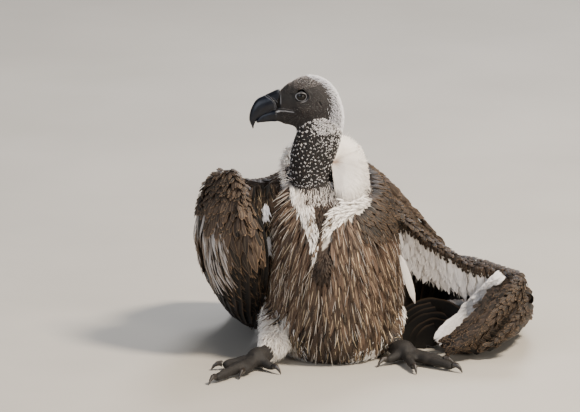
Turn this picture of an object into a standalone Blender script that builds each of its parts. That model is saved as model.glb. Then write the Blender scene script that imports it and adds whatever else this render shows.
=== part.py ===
"""A white-backed vulture sitting on its tarsi, life size: the right wing hangs folded, the left leans on its wrist.

Design frame: metres, +Z up, the breast faces -Y and the bill points to -X. The floor is z = 0. At the end the whole
bird is shifted so that the origin lies under the middle of its bounding box.
"""

import math

import bmesh
import bpy
import numpy as np
from mathutils import Matrix, Vector

GAP = 0.0004  # clearance between neighbouring pieces
FLOOR = 0.0
OVERLAP_ALLOWED = 5e-12  # cubic metres shared by neighbours after a cut, from rounding alone

# Head, measured from the middle of the head at the height of the eyes: forward, up, in metres
HEAD_AT = Vector((-0.052, 0.000, 0.424))
EYE_RADIUS = 0.0098
EYE_SIDE = 0.0168  # from the median plane to the middle of the eyeball
CERE_LENGTH = 0.013

# Legs
TOE_RADIUS = 0.0088
CLAW_LENGTH = 0.024
TOE_LENGTHS = {"inner": 0.058, "middle": 0.092, "outer": 0.062, "back": 0.036}

# Flight feathers
REMEX_THICK = 0.0045
TAIL_THICK = 0.0060

SKIN_COLOUR = (0.055, 0.047, 0.045, 1)
DOWN_COLOUR = (0.80, 0.76, 0.70, 1)
BROWN_COLOUR = (0.13, 0.085, 0.055, 1)
DARK_COLOUR = (0.035, 0.026, 0.022, 1)
HORN_COLOUR = (0.012, 0.013, 0.018, 1)
EYE_COLOUR = (0.010, 0.006, 0.004, 1)


def clear_scene():
    for thing in list(bpy.data.objects):
        bpy.data.objects.remove(thing, do_unlink=True)


def material(name, colour, roughness, metallic=0.0):
    made = bpy.data.materials.new(name)
    made.use_nodes = True
    shader = made.node_tree.nodes["Principled BSDF"]
    shader.inputs["Base Color"].default_value = colour
    shader.inputs["Roughness"].default_value = roughness
    shader.inputs["Metallic"].default_value = metallic
    return made


def smooth(stations, count):
    """Rows of numbers read from a Catmull-Rom curve through the stations, evenly in its parameter."""
    rows = np.array(stations, float)
    rows = np.vstack([2 * rows[0] - rows[1], rows, 2 * rows[-1] - rows[-2]])
    spans = len(rows) - 3
    found = []
    for place in np.linspace(0, spans, count):
        i = min(int(place), spans - 1)
        t = place - i
        a, b, c, d = rows[i : i + 4]
        found.append(
            0.5 * (2 * b + (c - a) * t + (2 * a - 5 * b + 4 * c - d) * t**2 + (3 * b - a - 3 * c + d) * t**3)
        )
    return np.array(found)


def solid(name, verts, faces, finish):
    """A closed mesh object with its faces pointing outwards."""
    mesh = bpy.data.meshes.new(name)
    mesh.from_pydata([tuple(v) for v in verts], [], faces)
    work = bmesh.new()
    work.from_mesh(mesh)
    bmesh.ops.recalc_face_normals(work, faces=work.faces)
    work.to_mesh(mesh)
    work.free()
    mesh.materials.append(finish)
    made = bpy.data.objects.new(name, mesh)
    bpy.context.scene.collection.objects.link(made)
    mesh.shade_smooth()
    mesh.set_sharp_from_angle(angle=math.radians(40))
    mesh.copy().name = name + "_uncut"
    return made


def skin_rings(name, rings, finish):
    """Closes a stack of rings, each with the same number of points, with a point at the middle of each end ring."""
    sides = len(rings[0])
    verts = [p for ring in rings for p in ring]
    faces = []
    for k in range(len(rings) - 1):
        for j in range(sides):
            a, b = k * sides + j, k * sides + (j + 1) % sides
            faces.append((a, b, b + sides, a + sides))
    for k in (0, len(rings) - 1):
        verts.append(sum((Vector(p) for p in rings[k]), Vector()) / sides)
        faces += [(k * sides + j, k * sides + (j + 1) % sides, len(verts) - 1) for j in range(sides)]
    return solid(name, verts, faces, finish)


def tube(name, stations, sides, finish, count=None, up=(0, 0, 1), bulge=2.0):
    """A loft along a curve. A station is x, y, z, half width, half height; the height lies towards up."""
    rows = smooth(stations, count or len(stations) * 2 - 1)
    middles = [Vector(r[:3]) for r in rows]
    rings = []
    for k, row in enumerate(rows):
        ahead = middles[min(k + 1, len(rows) - 1)] - middles[max(k - 1, 0)]
        side = ahead.cross(Vector(up)).normalized()
        height = side.cross(ahead).normalized()
        ring = []
        for j in range(sides):
            turn = 2 * math.pi * j / sides
            across = math.copysign(abs(math.cos(turn)) ** (2 / bulge), math.cos(turn))
            along = math.copysign(abs(math.sin(turn)) ** (2 / bulge), math.sin(turn))
            ring.append(middles[k] + side * row[3] * across + height * row[4] * along)
        rings.append(ring)
    return skin_rings(name, rings, finish)


def normals_of(grid):
    """The unit normal at each point of a grid of points."""
    along = np.gradient(grid, axis=0)
    across = np.gradient(grid, axis=1)
    found = np.cross(along, across)
    return found / np.maximum(np.linalg.norm(found, axis=2, keepdims=True), 1e-9)


def slab(name, grid, thickness, finish):
    """A sheet of points made into a closed slab, thickness being one number or one for each point."""
    m, n = grid.shape[:2]
    off = normals_of(grid) * (np.asarray(thickness, float) / 2 * np.ones((m, n)))[:, :, None]
    verts = [*(grid + off).reshape(-1, 3), *(grid - off).reshape(-1, 3)]
    low = m * n
    faces = []
    for i in range(m - 1):
        for j in range(n - 1):
            a, b, c, d = i * n + j, i * n + j + 1, (i + 1) * n + j + 1, (i + 1) * n + j
            faces += [(a, b, c, d), (d + low, c + low, b + low, a + low)]
    rim = [i * n for i in range(m)] + [(m - 1) * n + j for j in range(1, n)]
    rim += [i * n + n - 1 for i in range(m - 2, -1, -1)] + [j for j in range(n - 2, 0, -1)]
    faces += [(a, b, b + low, a + low) for a, b in zip(rim, rim[1:] + rim[:1])]
    return solid(name, verts, faces, finish)


def apply_boolean(piece, cutter, operation="DIFFERENCE"):
    step = piece.modifiers.new("cut", "BOOLEAN")
    step.operation = operation
    step.object = cutter
    step.solver = "EXACT"
    graph = bpy.context.evaluated_depsgraph_get()
    cut = bpy.data.meshes.new_from_object(piece.evaluated_get(graph))
    piece.modifiers.remove(step)
    old, piece.data = piece.data, cut
    bpy.data.meshes.remove(old)


def grown(piece, by):
    """A copy of a piece as it was before any cut, larger by this much all round."""
    uncut = bpy.data.meshes.get(piece.name + "_uncut") or piece.data
    copy = bpy.data.objects.new(piece.name + "_cutter", uncut.copy())
    bpy.context.scene.collection.objects.link(copy)
    work = bmesh.new()
    work.from_mesh(copy.data)
    work.normal_update()
    for vert in work.verts:
        vert.co += vert.normal * by * vert.calc_shell_factor()
    work.to_mesh(copy.data)
    work.free()
    return copy


def discard(thing):
    mesh = thing.data
    bpy.data.objects.remove(thing)
    bpy.data.meshes.remove(mesh)


def spread(verts):
    """The diagonal of the box round some vertices."""
    low = [min(v.co[i] for v in verts) for i in range(3)]
    high = [max(v.co[i] for v in verts) for i in range(3)]
    return math.dist(low, high)


def largest_body(piece):
    """Keeps only the largest connected body of a mesh, and welds what a cut left nearly coincident."""
    for weld in (0.00003, 0.00001, 0.000002, 0.0):
        work = bmesh.new()
        work.from_mesh(piece.data)
        bmesh.ops.triangulate(work, faces=work.faces)
        if weld:
            bmesh.ops.remove_doubles(work, verts=work.verts, dist=weld)
            bmesh.ops.dissolve_degenerate(work, edges=work.edges, dist=weld / 2)
            bmesh.ops.triangulate(work, faces=work.faces)
        left, bodies = set(work.verts), []
        while left:
            body, edge = set(), [left.pop()]
            while edge:
                vert = edge.pop()
                body.add(vert)
                for link in vert.link_edges:
                    other = link.other_vert(vert)
                    if other in left:
                        left.discard(other)
                        edge.append(other)
            bodies.append(body)
        bodies.sort(key=spread, reverse=True)
        loose = [vert for body in bodies[1:] for vert in body]
        bmesh.ops.delete(work, geom=loose, context="VERTS")
        whole = all(part.is_manifold for part in [*work.edges, *work.verts])
        if whole or not weld:
            work.to_mesh(piece.data)
        work.free()
        if whole:
            return


def box_of(piece):
    places = [vert.co for vert in piece.data.vertices]
    return [min(p[i] for p in places) for i in range(3)], [max(p[i] for p in places) for i in range(3)]


def near(one, other):
    """Whether the boxes of two pieces meet."""
    (low_a, high_a), (low_b, high_b) = box_of(one), box_of(other)
    return all(low_a[i] < high_b[i] + GAP and low_b[i] < high_a[i] + GAP for i in range(3))


def volume_of(mesh):
    work = bmesh.new()
    work.from_mesh(mesh)
    found = work.calc_volume()
    work.free()
    return found


def shared_volume(piece, other):
    """How much of a piece lies inside another."""
    probe = bpy.data.objects.new("probe", piece.data.copy())
    bpy.context.scene.collection.objects.link(probe)
    apply_boolean(probe, other, "INTERSECT")
    found = abs(volume_of(probe.data))
    discard(probe)
    return found


def is_closed(mesh):
    work = bmesh.new()
    work.from_mesh(mesh)
    found = all(part.is_manifold for part in [*work.edges, *work.verts])
    work.free()
    return found


def trim(piece, *others):
    """Cuts a piece back so that it clears each of its neighbours by the gap."""
    for other in others:
        if not near(piece, other):
            continue
        whole, tries = piece.data.copy(), []
        for extra in (0.0, 0.00003, 0.00007, 0.00013, 0.00021, 0.00031):
            cutter = grown(other, GAP + extra)
            apply_boolean(piece, cutter)
            discard(cutter)
            largest_body(piece)
            if piece.data.polygons and is_closed(piece.data):
                tries.append((shared_volume(piece, other), extra, piece.data.copy()))
                if tries[-1][0] < OVERLAP_ALLOWED:
                    break
            piece.data = whole.copy()
        if not tries:
            raise ValueError(f"{piece.name} can't be cut by {other.name}")
        best = min(tries, key=lambda one: one[:2])
        piece.data = best[2]
        if best[0] >= OVERLAP_ALLOWED:
            print("left", piece.name, other.name, best[0])


def cut_at(piece, point, normal):
    """Cuts off what lies on the side of a plane that its normal points to, and closes the cut."""
    work = bmesh.new()
    work.from_mesh(piece.data)
    geometry = [*work.verts, *work.edges, *work.faces]
    sliced = bmesh.ops.bisect_plane(
        work, geom=geometry, dist=1e-6, plane_co=point, plane_no=normal, clear_outer=True
    )
    edges = [g for g in sliced["geom_cut"] if isinstance(g, bmesh.types.BMEdge)]
    if edges:
        bmesh.ops.holes_fill(work, edges=edges, sides=0)
    bmesh.ops.recalc_face_normals(work, faces=work.faces)
    work.to_mesh(piece.data)
    work.free()


def stand_on_floor(*pieces):
    for piece in pieces:
        if box_of(piece)[0][2] < FLOOR:
            cut_at(piece, (0, 0, FLOOR), (0, 0, -1))


# ---------------------------------------------------------------- the body


def make_trunk(finish):
    """Horizontal slices: height, middle x, front y, back y, half width."""
    slices = smooth(
        [
            (-0.004, 0.000, -0.034, 0.212, 0.078),
            (0.014, 0.000, -0.056, 0.243, 0.096),
            (0.045, 0.000, -0.070, 0.258, 0.104),
            (0.090, 0.000, -0.080, 0.242, 0.107),
            (0.140, -0.002, -0.088, 0.210, 0.106),
            (0.185, -0.004, -0.088, 0.180, 0.104),
            (0.222, -0.006, -0.078, 0.160, 0.103),
            (0.252, -0.008, -0.060, 0.144, 0.098),
            (0.276, -0.010, -0.034, 0.128, 0.085),
            (0.293, -0.012, -0.002, 0.112, 0.064),
            (0.303, -0.012, 0.034, 0.090, 0.032),
        ],
        16,
    )
    rings = []
    for z, middle, front, back, half in slices:
        centre, reach = (front + back) / 2, (back - front) / 2
        ring = []
        for j in range(24):
            turn = 2 * math.pi * j / 24
            c, s = math.cos(turn), math.sin(turn)
            x = middle + half * math.copysign(abs(c) ** 0.86, c)
            y = centre + reach * math.copysign(abs(s) ** 0.92, s)
            narrowing = 1 - 0.22 * max(0.0, s) ** 2  # the rump is slimmer than the breast
            ring.append(Vector((middle + (x - middle) * narrowing, y, z)))
        rings.append(ring)
    return skin_rings("trunk", rings, finish)


def make_neck(finish):
    """One tube from the skull into the shoulders, parted half way up."""
    stations = [
        (-0.012, -0.004, 0.405, 0.022, 0.024),
        (-0.015, -0.004, 0.384, 0.028, 0.031),
        (-0.025, -0.003, 0.354, 0.033, 0.037),
        (-0.036, 0.000, 0.318, 0.034, 0.037),
        (-0.037, 0.008, 0.284, 0.036, 0.036),
        (-0.033, 0.020, 0.248, 0.043, 0.041),
    ]
    upper = tube("neck_upper", stations, 16, finish, 10, up=(1, 0, 0))
    lower = tube("neck_lower", stations, 16, finish, 10, up=(1, 0, 0))
    parting = Vector((-0.036, 0.0, 0.322))
    cut_at(upper, parting + Vector((0, 0, GAP / 2)), (0, 0, -1))
    cut_at(lower, parting - Vector((0, 0, GAP / 2)), (0, 0, 1))
    return upper, lower


def make_ruff(finish):
    """The collar of plumes: a roll round the back and sides of the neck, fullest on the left side."""
    stations = [
        (-0.074, -0.006, 0.278, 0.008, 0.010),
        (-0.078, 0.018, 0.298, 0.012, 0.017),
        (-0.060, 0.046, 0.316, 0.018, 0.024),
        (-0.014, 0.058, 0.324, 0.021, 0.028),
        (0.024, 0.040, 0.312, 0.024, 0.032),
        (0.034, 0.004, 0.282, 0.025, 0.034),
        (0.026, -0.026, 0.252, 0.020, 0.026),
        (0.012, -0.040, 0.232, 0.012, 0.014),
    ]
    return tube("ruff", stations, 10, finish, 13)


# ---------------------------------------------------------------- the head


def head_point(forward, side, up):
    """A place in the head's own directions: the bill points to -X."""
    return HEAD_AT + Vector((-forward, side, up))


def make_head(finish):
    """Upright slices from the face to the nape: forward, top, bottom, half width."""
    slices = smooth(
        [
            (0.0375, 0.0030, -0.0455, 0.0125),
            (0.0280, 0.0085, -0.0495, 0.0155),
            (0.0130, 0.0200, -0.0545, 0.0215),
            (0.0000, 0.0262, -0.0600, 0.0262),
            (-0.0130, 0.0284, -0.0640, 0.0285),
            (-0.0290, 0.0258, -0.0670, 0.0300),
            (-0.0445, 0.0168, -0.0680, 0.0300),
            (-0.0560, 0.0015, -0.0660, 0.0260),
            (-0.0635, -0.0190, -0.0600, 0.0180),
            (-0.0668, -0.0350, -0.0480, 0.0060),
        ],
        14,
    )
    rings = []
    for forward, top, bottom, half in slices:
        middle, reach = (top + bottom) / 2, (top - bottom) / 2
        ring = []
        for j in range(18):
            turn = 2 * math.pi * j / 18
            c, s = math.cos(turn), math.sin(turn)
            jaw = 1 - 0.22 * max(0.0, -s) ** 1.5  # the jaw is narrower than the brow
            ring.append(head_point(forward, half * c * jaw, middle + reach * s))
        rings.append(ring)
    return skin_rings("head", rings, finish)


def make_bill(horn):
    """Upper bill with its hook, lower bill and the cere that joins them to the face."""

    def along(rows):
        return [(*head_point(f, 0, u), half_width, half_depth) for f, u, half_width, half_depth in rows]

    upper_rows = along(
        [
            (0.0300, -0.0120, 0.0125, 0.0180),
            (0.0400, -0.0135, 0.0118, 0.0168),
            (0.0510, -0.0180, 0.0105, 0.0165),
            (0.0620, -0.0250, 0.0088, 0.0150),
            (0.0710, -0.0340, 0.0066, 0.0102),
            (0.0757, -0.0450, 0.0042, 0.0056),
            (0.0748, -0.0560, 0.0016, 0.0020),
        ]
    )
    upper = tube("bill_upper", upper_rows, 14, horn, 13, up=(-0.6, 0, 0.8))
    cere = tube("cere", upper_rows, 14, horn, 13, up=(-0.6, 0, 0.8))
    edge = head_point(0.0300 + CERE_LENGTH, 0, -0.010)
    slant = Vector((-0.90, 0, 0.42)).normalized()
    cut_at(cere, edge - slant * GAP / 2, slant)
    cut_at(upper, edge + slant * GAP / 2, -slant)
    lower = tube(
        "bill_lower",
        along(
            [
                (0.0240, -0.0405, 0.0130, 0.0105),
                (0.0400, -0.0378, 0.0105, 0.0084),
                (0.0550, -0.0410, 0.0078, 0.0060),
                (0.0700, -0.0465, 0.0040, 0.0018),
            ]
        ),
        12,
        horn,
        7,
    )
    return upper, lower, cere


def make_eye(name, side, finish):
    work = bmesh.new()
    bmesh.ops.create_uvsphere(work, u_segments=12, v_segments=8, radius=EYE_RADIUS)
    mesh = bpy.data.meshes.new(name)
    work.to_mesh(mesh)
    work.free()
    mesh.transform(Matrix.Translation(head_point(0, side, 0)))
    mesh.materials.append(finish)
    eye = bpy.data.objects.new(name, mesh)
    bpy.context.scene.collection.objects.link(eye)
    mesh.shade_smooth()
    return eye


# ---------------------------------------------------------------- legs


def make_leg(name, hock, ball, tips, materials):
    """One leg: feathered thigh, tarsus laid along the floor, four toes from the ball of the foot, four claws."""
    down, skin, horn = materials
    hock, ball = Vector(hock), Vector(ball)
    out = 1 if hock.x > 0 or name == "left" else -1
    shank, cuff = hock.lerp(ball, 0.50), hock.lerp(ball, 0.72)
    thigh = tube(
        "thigh_" + name,
        [
            (out * 0.050, 0.100, 0.112, 0.032, 0.034),
            (out * 0.068, 0.064, 0.080, 0.036, 0.038),
            (out * 0.034 + shank.x * 0.5, 0.030 + shank.y * 0.3, 0.052, 0.036, 0.034),
            (shank.x, shank.y, 0.031, 0.029, 0.027),
            (cuff.x, cuff.y, 0.022, 0.018, 0.017),
        ],
        12,
        down,
        7,
    )
    tarsus = tube(
        "tarsus_" + name,
        [
            (*(hock + Vector((0, 0, 0.004))), 0.0160, 0.0155),
            (*(hock.lerp(ball, 0.35) + Vector((0, 0, 0.003))), 0.0135, 0.0140),
            (*(hock.lerp(ball, 0.75) + Vector((0, 0, 0.002))), 0.0140, 0.0145),
            (*(ball + Vector((0, 0, 0.001))), 0.0180, 0.0175),
            (*(ball + (ball - hock).normalized() * 0.016), 0.0110, 0.0110),
        ],
        10,
        skin,
        6,
    )
    toes, claws = [], []
    for toe, (tip_x, tip_y) in tips.items():
        tip = Vector((tip_x, tip_y, 0.0))
        root = Vector((ball.x, ball.y, 0.010))
        ahead = (Vector((tip_x, tip_y, 0)) - Vector((root.x, root.y, 0))).normalized()
        span = (Vector((tip.x, tip.y, 0)) - Vector((root.x, root.y, 0))).length
        thin = 0.85 if toe in ("inner", "back") else 1.0
        end = span - CLAW_LENGTH * 0.72
        rows = []
        for part, lift, wide in ((0.0, 0.0, 1.0), (0.3, 0.0035, 1.10), (0.62, 0.001, 0.98), (0.9, -0.0015, 0.86), (1.0, -0.002, 0.62)):
            place = root + ahead * end * part
            radius = TOE_RADIUS * wide * thin
            rows.append((place.x, place.y, max(radius - 0.0006, 0.010 + lift), radius, radius))
        toes.append(tube(f"toe_{name}_{toe}", rows, 8, skin, 7))
        claw_rows = []
        for part, height, wide in ((0.0, 0.0078, 0.0046), (0.35, 0.0120, 0.0042), (0.72, 0.0088, 0.0028), (1.0, 0.0012, 0.0008)):
            place = root + ahead * (end - 0.004 + CLAW_LENGTH * 0.9 * part)
            claw_rows.append((place.x, place.y, height, wide, wide * 1.15))
        claws.append(tube(f"claw_{name}_{toe}", claw_rows, 6, horn, 5))
    return thigh, tarsus, toes, claws


# ---------------------------------------------------------------- wings and tail


def fan(lines, across, along):
    """A grid of points through feather lines, each running from root to tip."""
    rows = np.array([smooth(line, along) for line in lines])
    return np.array([smooth(rows[:, k], across) for k in range(along)]).transpose(1, 0, 2)


def tapered(across, along, root, tip):
    """Thickness of a fan of feathers, from root to tip, thinning to the outer edges a little."""
    down = root + (tip - root) * np.linspace(0, 1, along) ** 0.6
    return np.ones((across, 1)) * down[None, :]


def make_fan(name, lines, across, along, root, tip, finish):
    return slab(name, fan(lines, across, along), tapered(across, along, root, tip), finish)


# Right wing, hanging: feather lines from the leading edge round the outside to the innermost secondary
RIGHT_PRIMARY_LINES = [
    [(-0.146, -0.030, 0.284), (-0.114, -0.038, 0.207), (-0.111, -0.012, 0.132), (-0.122, 0.068, 0.062),
     (-0.128, 0.155, 0.014), (-0.133, 0.270, 0.006)],
    [(-0.162, -0.026, 0.296), (-0.148, -0.038, 0.213), (-0.148, -0.008, 0.130), (-0.146, 0.070, 0.058),
     (-0.140, 0.180, 0.016), (-0.132, 0.360, 0.006)],
    [(-0.178, -0.010, 0.294), (-0.183, -0.020, 0.215), (-0.181, 0.016, 0.130), (-0.170, 0.095, 0.062),
     (-0.152, 0.210, 0.020), (-0.130, 0.430, 0.006)],
    [(-0.190, 0.010, 0.286), (-0.206, 0.010, 0.215), (-0.201, 0.052, 0.134), (-0.184, 0.130, 0.068),
     (-0.160, 0.245, 0.024), (-0.124, 0.455, 0.007)],
]
RIGHT_SECONDARY_LINES = [
    [(-0.195, 0.030, 0.272), (-0.211, 0.038, 0.212), (-0.206, 0.082, 0.138), (-0.188, 0.160, 0.074),
     (-0.162, 0.250, 0.034), (-0.128, 0.385, 0.010)],
    [(-0.194, 0.064, 0.262), (-0.210, 0.082, 0.206), (-0.206, 0.130, 0.142), (-0.184, 0.200, 0.086),
     (-0.154, 0.280, 0.048), (-0.118, 0.385, 0.020)],
    [(-0.180, 0.102, 0.250), (-0.194, 0.124, 0.200), (-0.188, 0.168, 0.148), (-0.166, 0.230, 0.100),
     (-0.136, 0.300, 0.066), (-0.102, 0.378, 0.036)],
    [(-0.156, 0.134, 0.237), (-0.164, 0.158, 0.197), (-0.156, 0.196, 0.156), (-0.136, 0.248, 0.116),
     (-0.108, 0.304, 0.086), (-0.078, 0.362, 0.058)],
]
# Left wing, leant on its wrist and half open: primaries from the tip of the hand up to the wrist
LEFT_PRIMARY_LINES = [
    [(0.174, -0.018, 0.013), (0.184, 0.040, 0.008), (0.170, 0.180, 0.006), (0.132, 0.400, 0.006)],
    [(0.204, -0.012, 0.028), (0.243, 0.022, 0.012), (0.238, 0.175, 0.007), (0.162, 0.445, 0.006)],
    [(0.240, -0.002, 0.056), (0.284, 0.042, 0.036), (0.278, 0.180, 0.016), (0.204, 0.420, 0.007)],
    [(0.272, 0.012, 0.086), (0.303, 0.060, 0.062), (0.298, 0.176, 0.030), (0.240, 0.375, 0.009)],
]
LEFT_SECONDARY_LINES = [
    [(0.288, 0.026, 0.104), (0.304, 0.078, 0.084), (0.297, 0.180, 0.046), (0.258, 0.338, 0.014)],
    [(0.274, 0.062, 0.106), (0.284, 0.112, 0.089), (0.277, 0.200, 0.056), (0.246, 0.348, 0.018)],
    [(0.248, 0.104, 0.108), (0.256, 0.150, 0.094), (0.250, 0.228, 0.065), (0.222, 0.354, 0.024)],
    [(0.216, 0.146, 0.110), (0.220, 0.186, 0.099), (0.212, 0.252, 0.074), (0.188, 0.354, 0.036)],
    [(0.172, 0.158, 0.122), (0.172, 0.198, 0.110), (0.162, 0.258, 0.088), (0.140, 0.338, 0.050)],
]


def make_right_wing(brown, dark):
    side = "wing_right_"
    upper = tube(
        side + "upper_arm",
        [(-0.070, 0.036, 0.256, 0.020, 0.018), (-0.098, 0.074, 0.240, 0.021, 0.019),
         (-0.128, 0.112, 0.224, 0.020, 0.017), (-0.152, 0.140, 0.221, 0.015, 0.014)],
        10, brown, 6,
    )
    forearm = tube(
        side + "forearm",
        [(-0.160, 0.134, 0.228, 0.013, 0.014), (-0.178, 0.098, 0.244, 0.015, 0.016),
         (-0.186, 0.052, 0.260, 0.015, 0.018), (-0.180, 0.008, 0.279, 0.016, 0.018),
         (-0.166, -0.014, 0.296, 0.014, 0.014)],
        10, brown, 7,
    )
    hand = tube(
        side + "hand",
        [(-0.166, -0.018, 0.304, 0.014, 0.012), (-0.150, -0.030, 0.279, 0.015, 0.011),
         (-0.136, -0.036, 0.233, 0.013, 0.010), (-0.124, -0.038, 0.194, 0.010, 0.008),
         (-0.114, -0.034, 0.160, 0.006, 0.005)],
        10, brown, 7, up=(1, 0.6, 0),
    )
    alula = tube(
        side + "alula",
        [(-0.152, -0.048, 0.262, 0.004, 0.004), (-0.142, -0.053, 0.221, 0.008, 0.004),
         (-0.132, -0.050, 0.183, 0.006, 0.003), (-0.126, -0.045, 0.160, 0.002, 0.0015)],
        8, dark, 5, up=(0.2, 1, 0),
    )
    web = slab(
        side + "propatagium",
        fan(
            [
                [(-0.084, 0.018, 0.261), (-0.092, 0.046, 0.249), (-0.104, 0.074, 0.232)],
                [(-0.110, 0.000, 0.261), (-0.123, 0.032, 0.248), (-0.134, 0.068, 0.234)],
                [(-0.138, -0.016, 0.273), (-0.149, 0.016, 0.268), (-0.158, 0.056, 0.248)],
                [(-0.160, -0.024, 0.293), (-0.168, 0.008, 0.279), (-0.174, 0.048, 0.254)],
            ],
            6, 5,
        ),
        0.014,
        brown,
    )
    primaries = make_fan(side + "primaries", RIGHT_PRIMARY_LINES, 6, 9, 0.018, REMEX_THICK, dark)
    secondaries = make_fan(side + "secondaries", RIGHT_SECONDARY_LINES, 6, 8, 0.018, REMEX_THICK, dark)
    return upper, forearm, hand, alula, web, primaries, secondaries


def make_left_wing(brown, dark):
    side = "wing_left_"
    upper = tube(
        side + "upper_arm",
        [(0.062, 0.050, 0.244, 0.022, 0.020), (0.098, 0.092, 0.208, 0.021, 0.019),
         (0.142, 0.130, 0.151, 0.020, 0.018), (0.184, 0.156, 0.122, 0.014, 0.013)],
        10, brown, 6,
    )
    forearm = tube(
        side + "forearm",
        [(0.196, 0.152, 0.118, 0.013, 0.013), (0.226, 0.116, 0.118, 0.015, 0.015),
         (0.254, 0.070, 0.118, 0.015, 0.015), (0.278, 0.030, 0.120, 0.015, 0.015),
         (0.287, 0.010, 0.121, 0.014, 0.014)],
        10, brown, 7,
    )
    hand = tube(
        side + "hand",
        [(0.290, 0.000, 0.128, 0.013, 0.016), (0.278, -0.008, 0.106, 0.018, 0.018),
         (0.244, -0.016, 0.072, 0.017, 0.015), (0.206, -0.024, 0.038, 0.013, 0.012),
         (0.172, -0.024, 0.015, 0.006, 0.007)],
        10, brown, 7, up=(0, 1, 0),
    )
    alula = tube(
        side + "alula",
        [(0.303, -0.004, 0.100, 0.004, 0.005), (0.286, -0.012, 0.067, 0.005, 0.009),
         (0.257, -0.014, 0.037, 0.004, 0.008), (0.226, -0.014, 0.016, 0.0015, 0.003)],
        8, dark, 5, up=(0.7, 0, -0.7),
    )
    web = slab(
        side + "propatagium",
        fan(
            [
                [(0.060, 0.030, 0.256), (0.080, 0.052, 0.205), (0.094, 0.068, 0.146)],
                [(0.102, 0.034, 0.222), (0.114, 0.058, 0.180), (0.122, 0.074, 0.124)],
                [(0.152, 0.028, 0.180), (0.158, 0.052, 0.146), (0.160, 0.068, 0.110)],
                [(0.214, 0.012, 0.149), (0.212, 0.032, 0.122), (0.206, 0.050, 0.094)],
                [(0.262, 0.002, 0.143), (0.257, 0.014, 0.124), (0.247, 0.030, 0.100)],
            ],
            9, 5,
        ),
        0.014,
        brown,
    )
    primaries = make_fan(side + "primaries", LEFT_PRIMARY_LINES, 6, 8, 0.012, REMEX_THICK, dark)
    secondaries = make_fan(side + "secondaries", LEFT_SECONDARY_LINES, 7, 8, 0.014, REMEX_THICK, dark)
    return upper, forearm, hand, alula, web, primaries, secondaries


def make_scapulars(name, lines, finish):
    """The long shoulder feathers that roof the gap between the back and the wing."""
    return make_fan(name, lines, 6, 7, 0.016, 0.007, finish)


LEFT_SCAPULAR_LINES = [
    [(0.024, 0.084, 0.302), (0.042, 0.140, 0.272), (0.058, 0.210, 0.204), (0.070, 0.290, 0.126)],
    [(0.062, 0.074, 0.279), (0.084, 0.134, 0.243), (0.100, 0.208, 0.176), (0.110, 0.300, 0.108)],
    [(0.096, 0.086, 0.240), (0.122, 0.142, 0.198), (0.138, 0.214, 0.140), (0.144, 0.308, 0.088)],
    [(0.134, 0.108, 0.192), (0.160, 0.158, 0.151), (0.172, 0.226, 0.118), (0.170, 0.312, 0.076)],
]
RIGHT_SCAPULAR_LINES = [
    [(-0.040, 0.084, 0.302), (-0.054, 0.140, 0.274), (-0.062, 0.212, 0.206), (-0.064, 0.290, 0.128)],
    [(-0.078, 0.066, 0.274), (-0.096, 0.130, 0.255), (-0.108, 0.206, 0.199), (-0.102, 0.300, 0.124)],
    [(-0.114, 0.068, 0.258), (-0.136, 0.130, 0.249), (-0.148, 0.204, 0.205), (-0.134, 0.306, 0.124)],
    [(-0.142, 0.080, 0.264), (-0.168, 0.134, 0.250), (-0.184, 0.198, 0.204), (-0.164, 0.298, 0.130)],
]


def make_tail(dark):
    """Twelve stiff feathers held half shut, resting on the floor behind the rump."""
    lines = []
    for turn in np.linspace(-1, 1, 5):
        spread, lift = turn * 0.40, 0.012 * (1 - turn * turn)
        root = Vector((turn * 0.030, 0.225, 0.040 + lift))
        ahead = Vector((math.sin(spread), math.cos(spread), 0))
        reach = 0.262 - 0.020 * abs(turn)
        lines.append(
            [
                tuple(root + ahead * reach * part + Vector((0, 0, -(0.034 + lift) * drop)))
                for part, drop in ((0.0, 0.0), (0.33, 0.48), (0.66, 0.83), (1.0, 1.0))
            ]
        )
    return make_fan("tail", lines, 9, 7, 0.016, TAIL_THICK, dark)


# ---------------------------------------------------------------- assembly


def shift_to_origin():
    """The origin goes to the floor under the middle of the bounding box."""
    pieces = [o for o in bpy.data.objects if o.type == "MESH"]
    boxes = [box_of(piece) for piece in pieces]
    low = [min(b[0][i] for b in boxes) for i in range(3)]
    high = [max(b[1][i] for b in boxes) for i in range(3)]
    shift = Vector((-(low[0] + high[0]) / 2, -(low[1] + high[1]) / 2, -low[2]))
    for piece in pieces:
        piece.data.transform(Matrix.Translation(shift))
    print("shift", tuple(round(s, 5) for s in shift), "size", [round(h - l, 4) for l, h in zip(low, high)])


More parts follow.
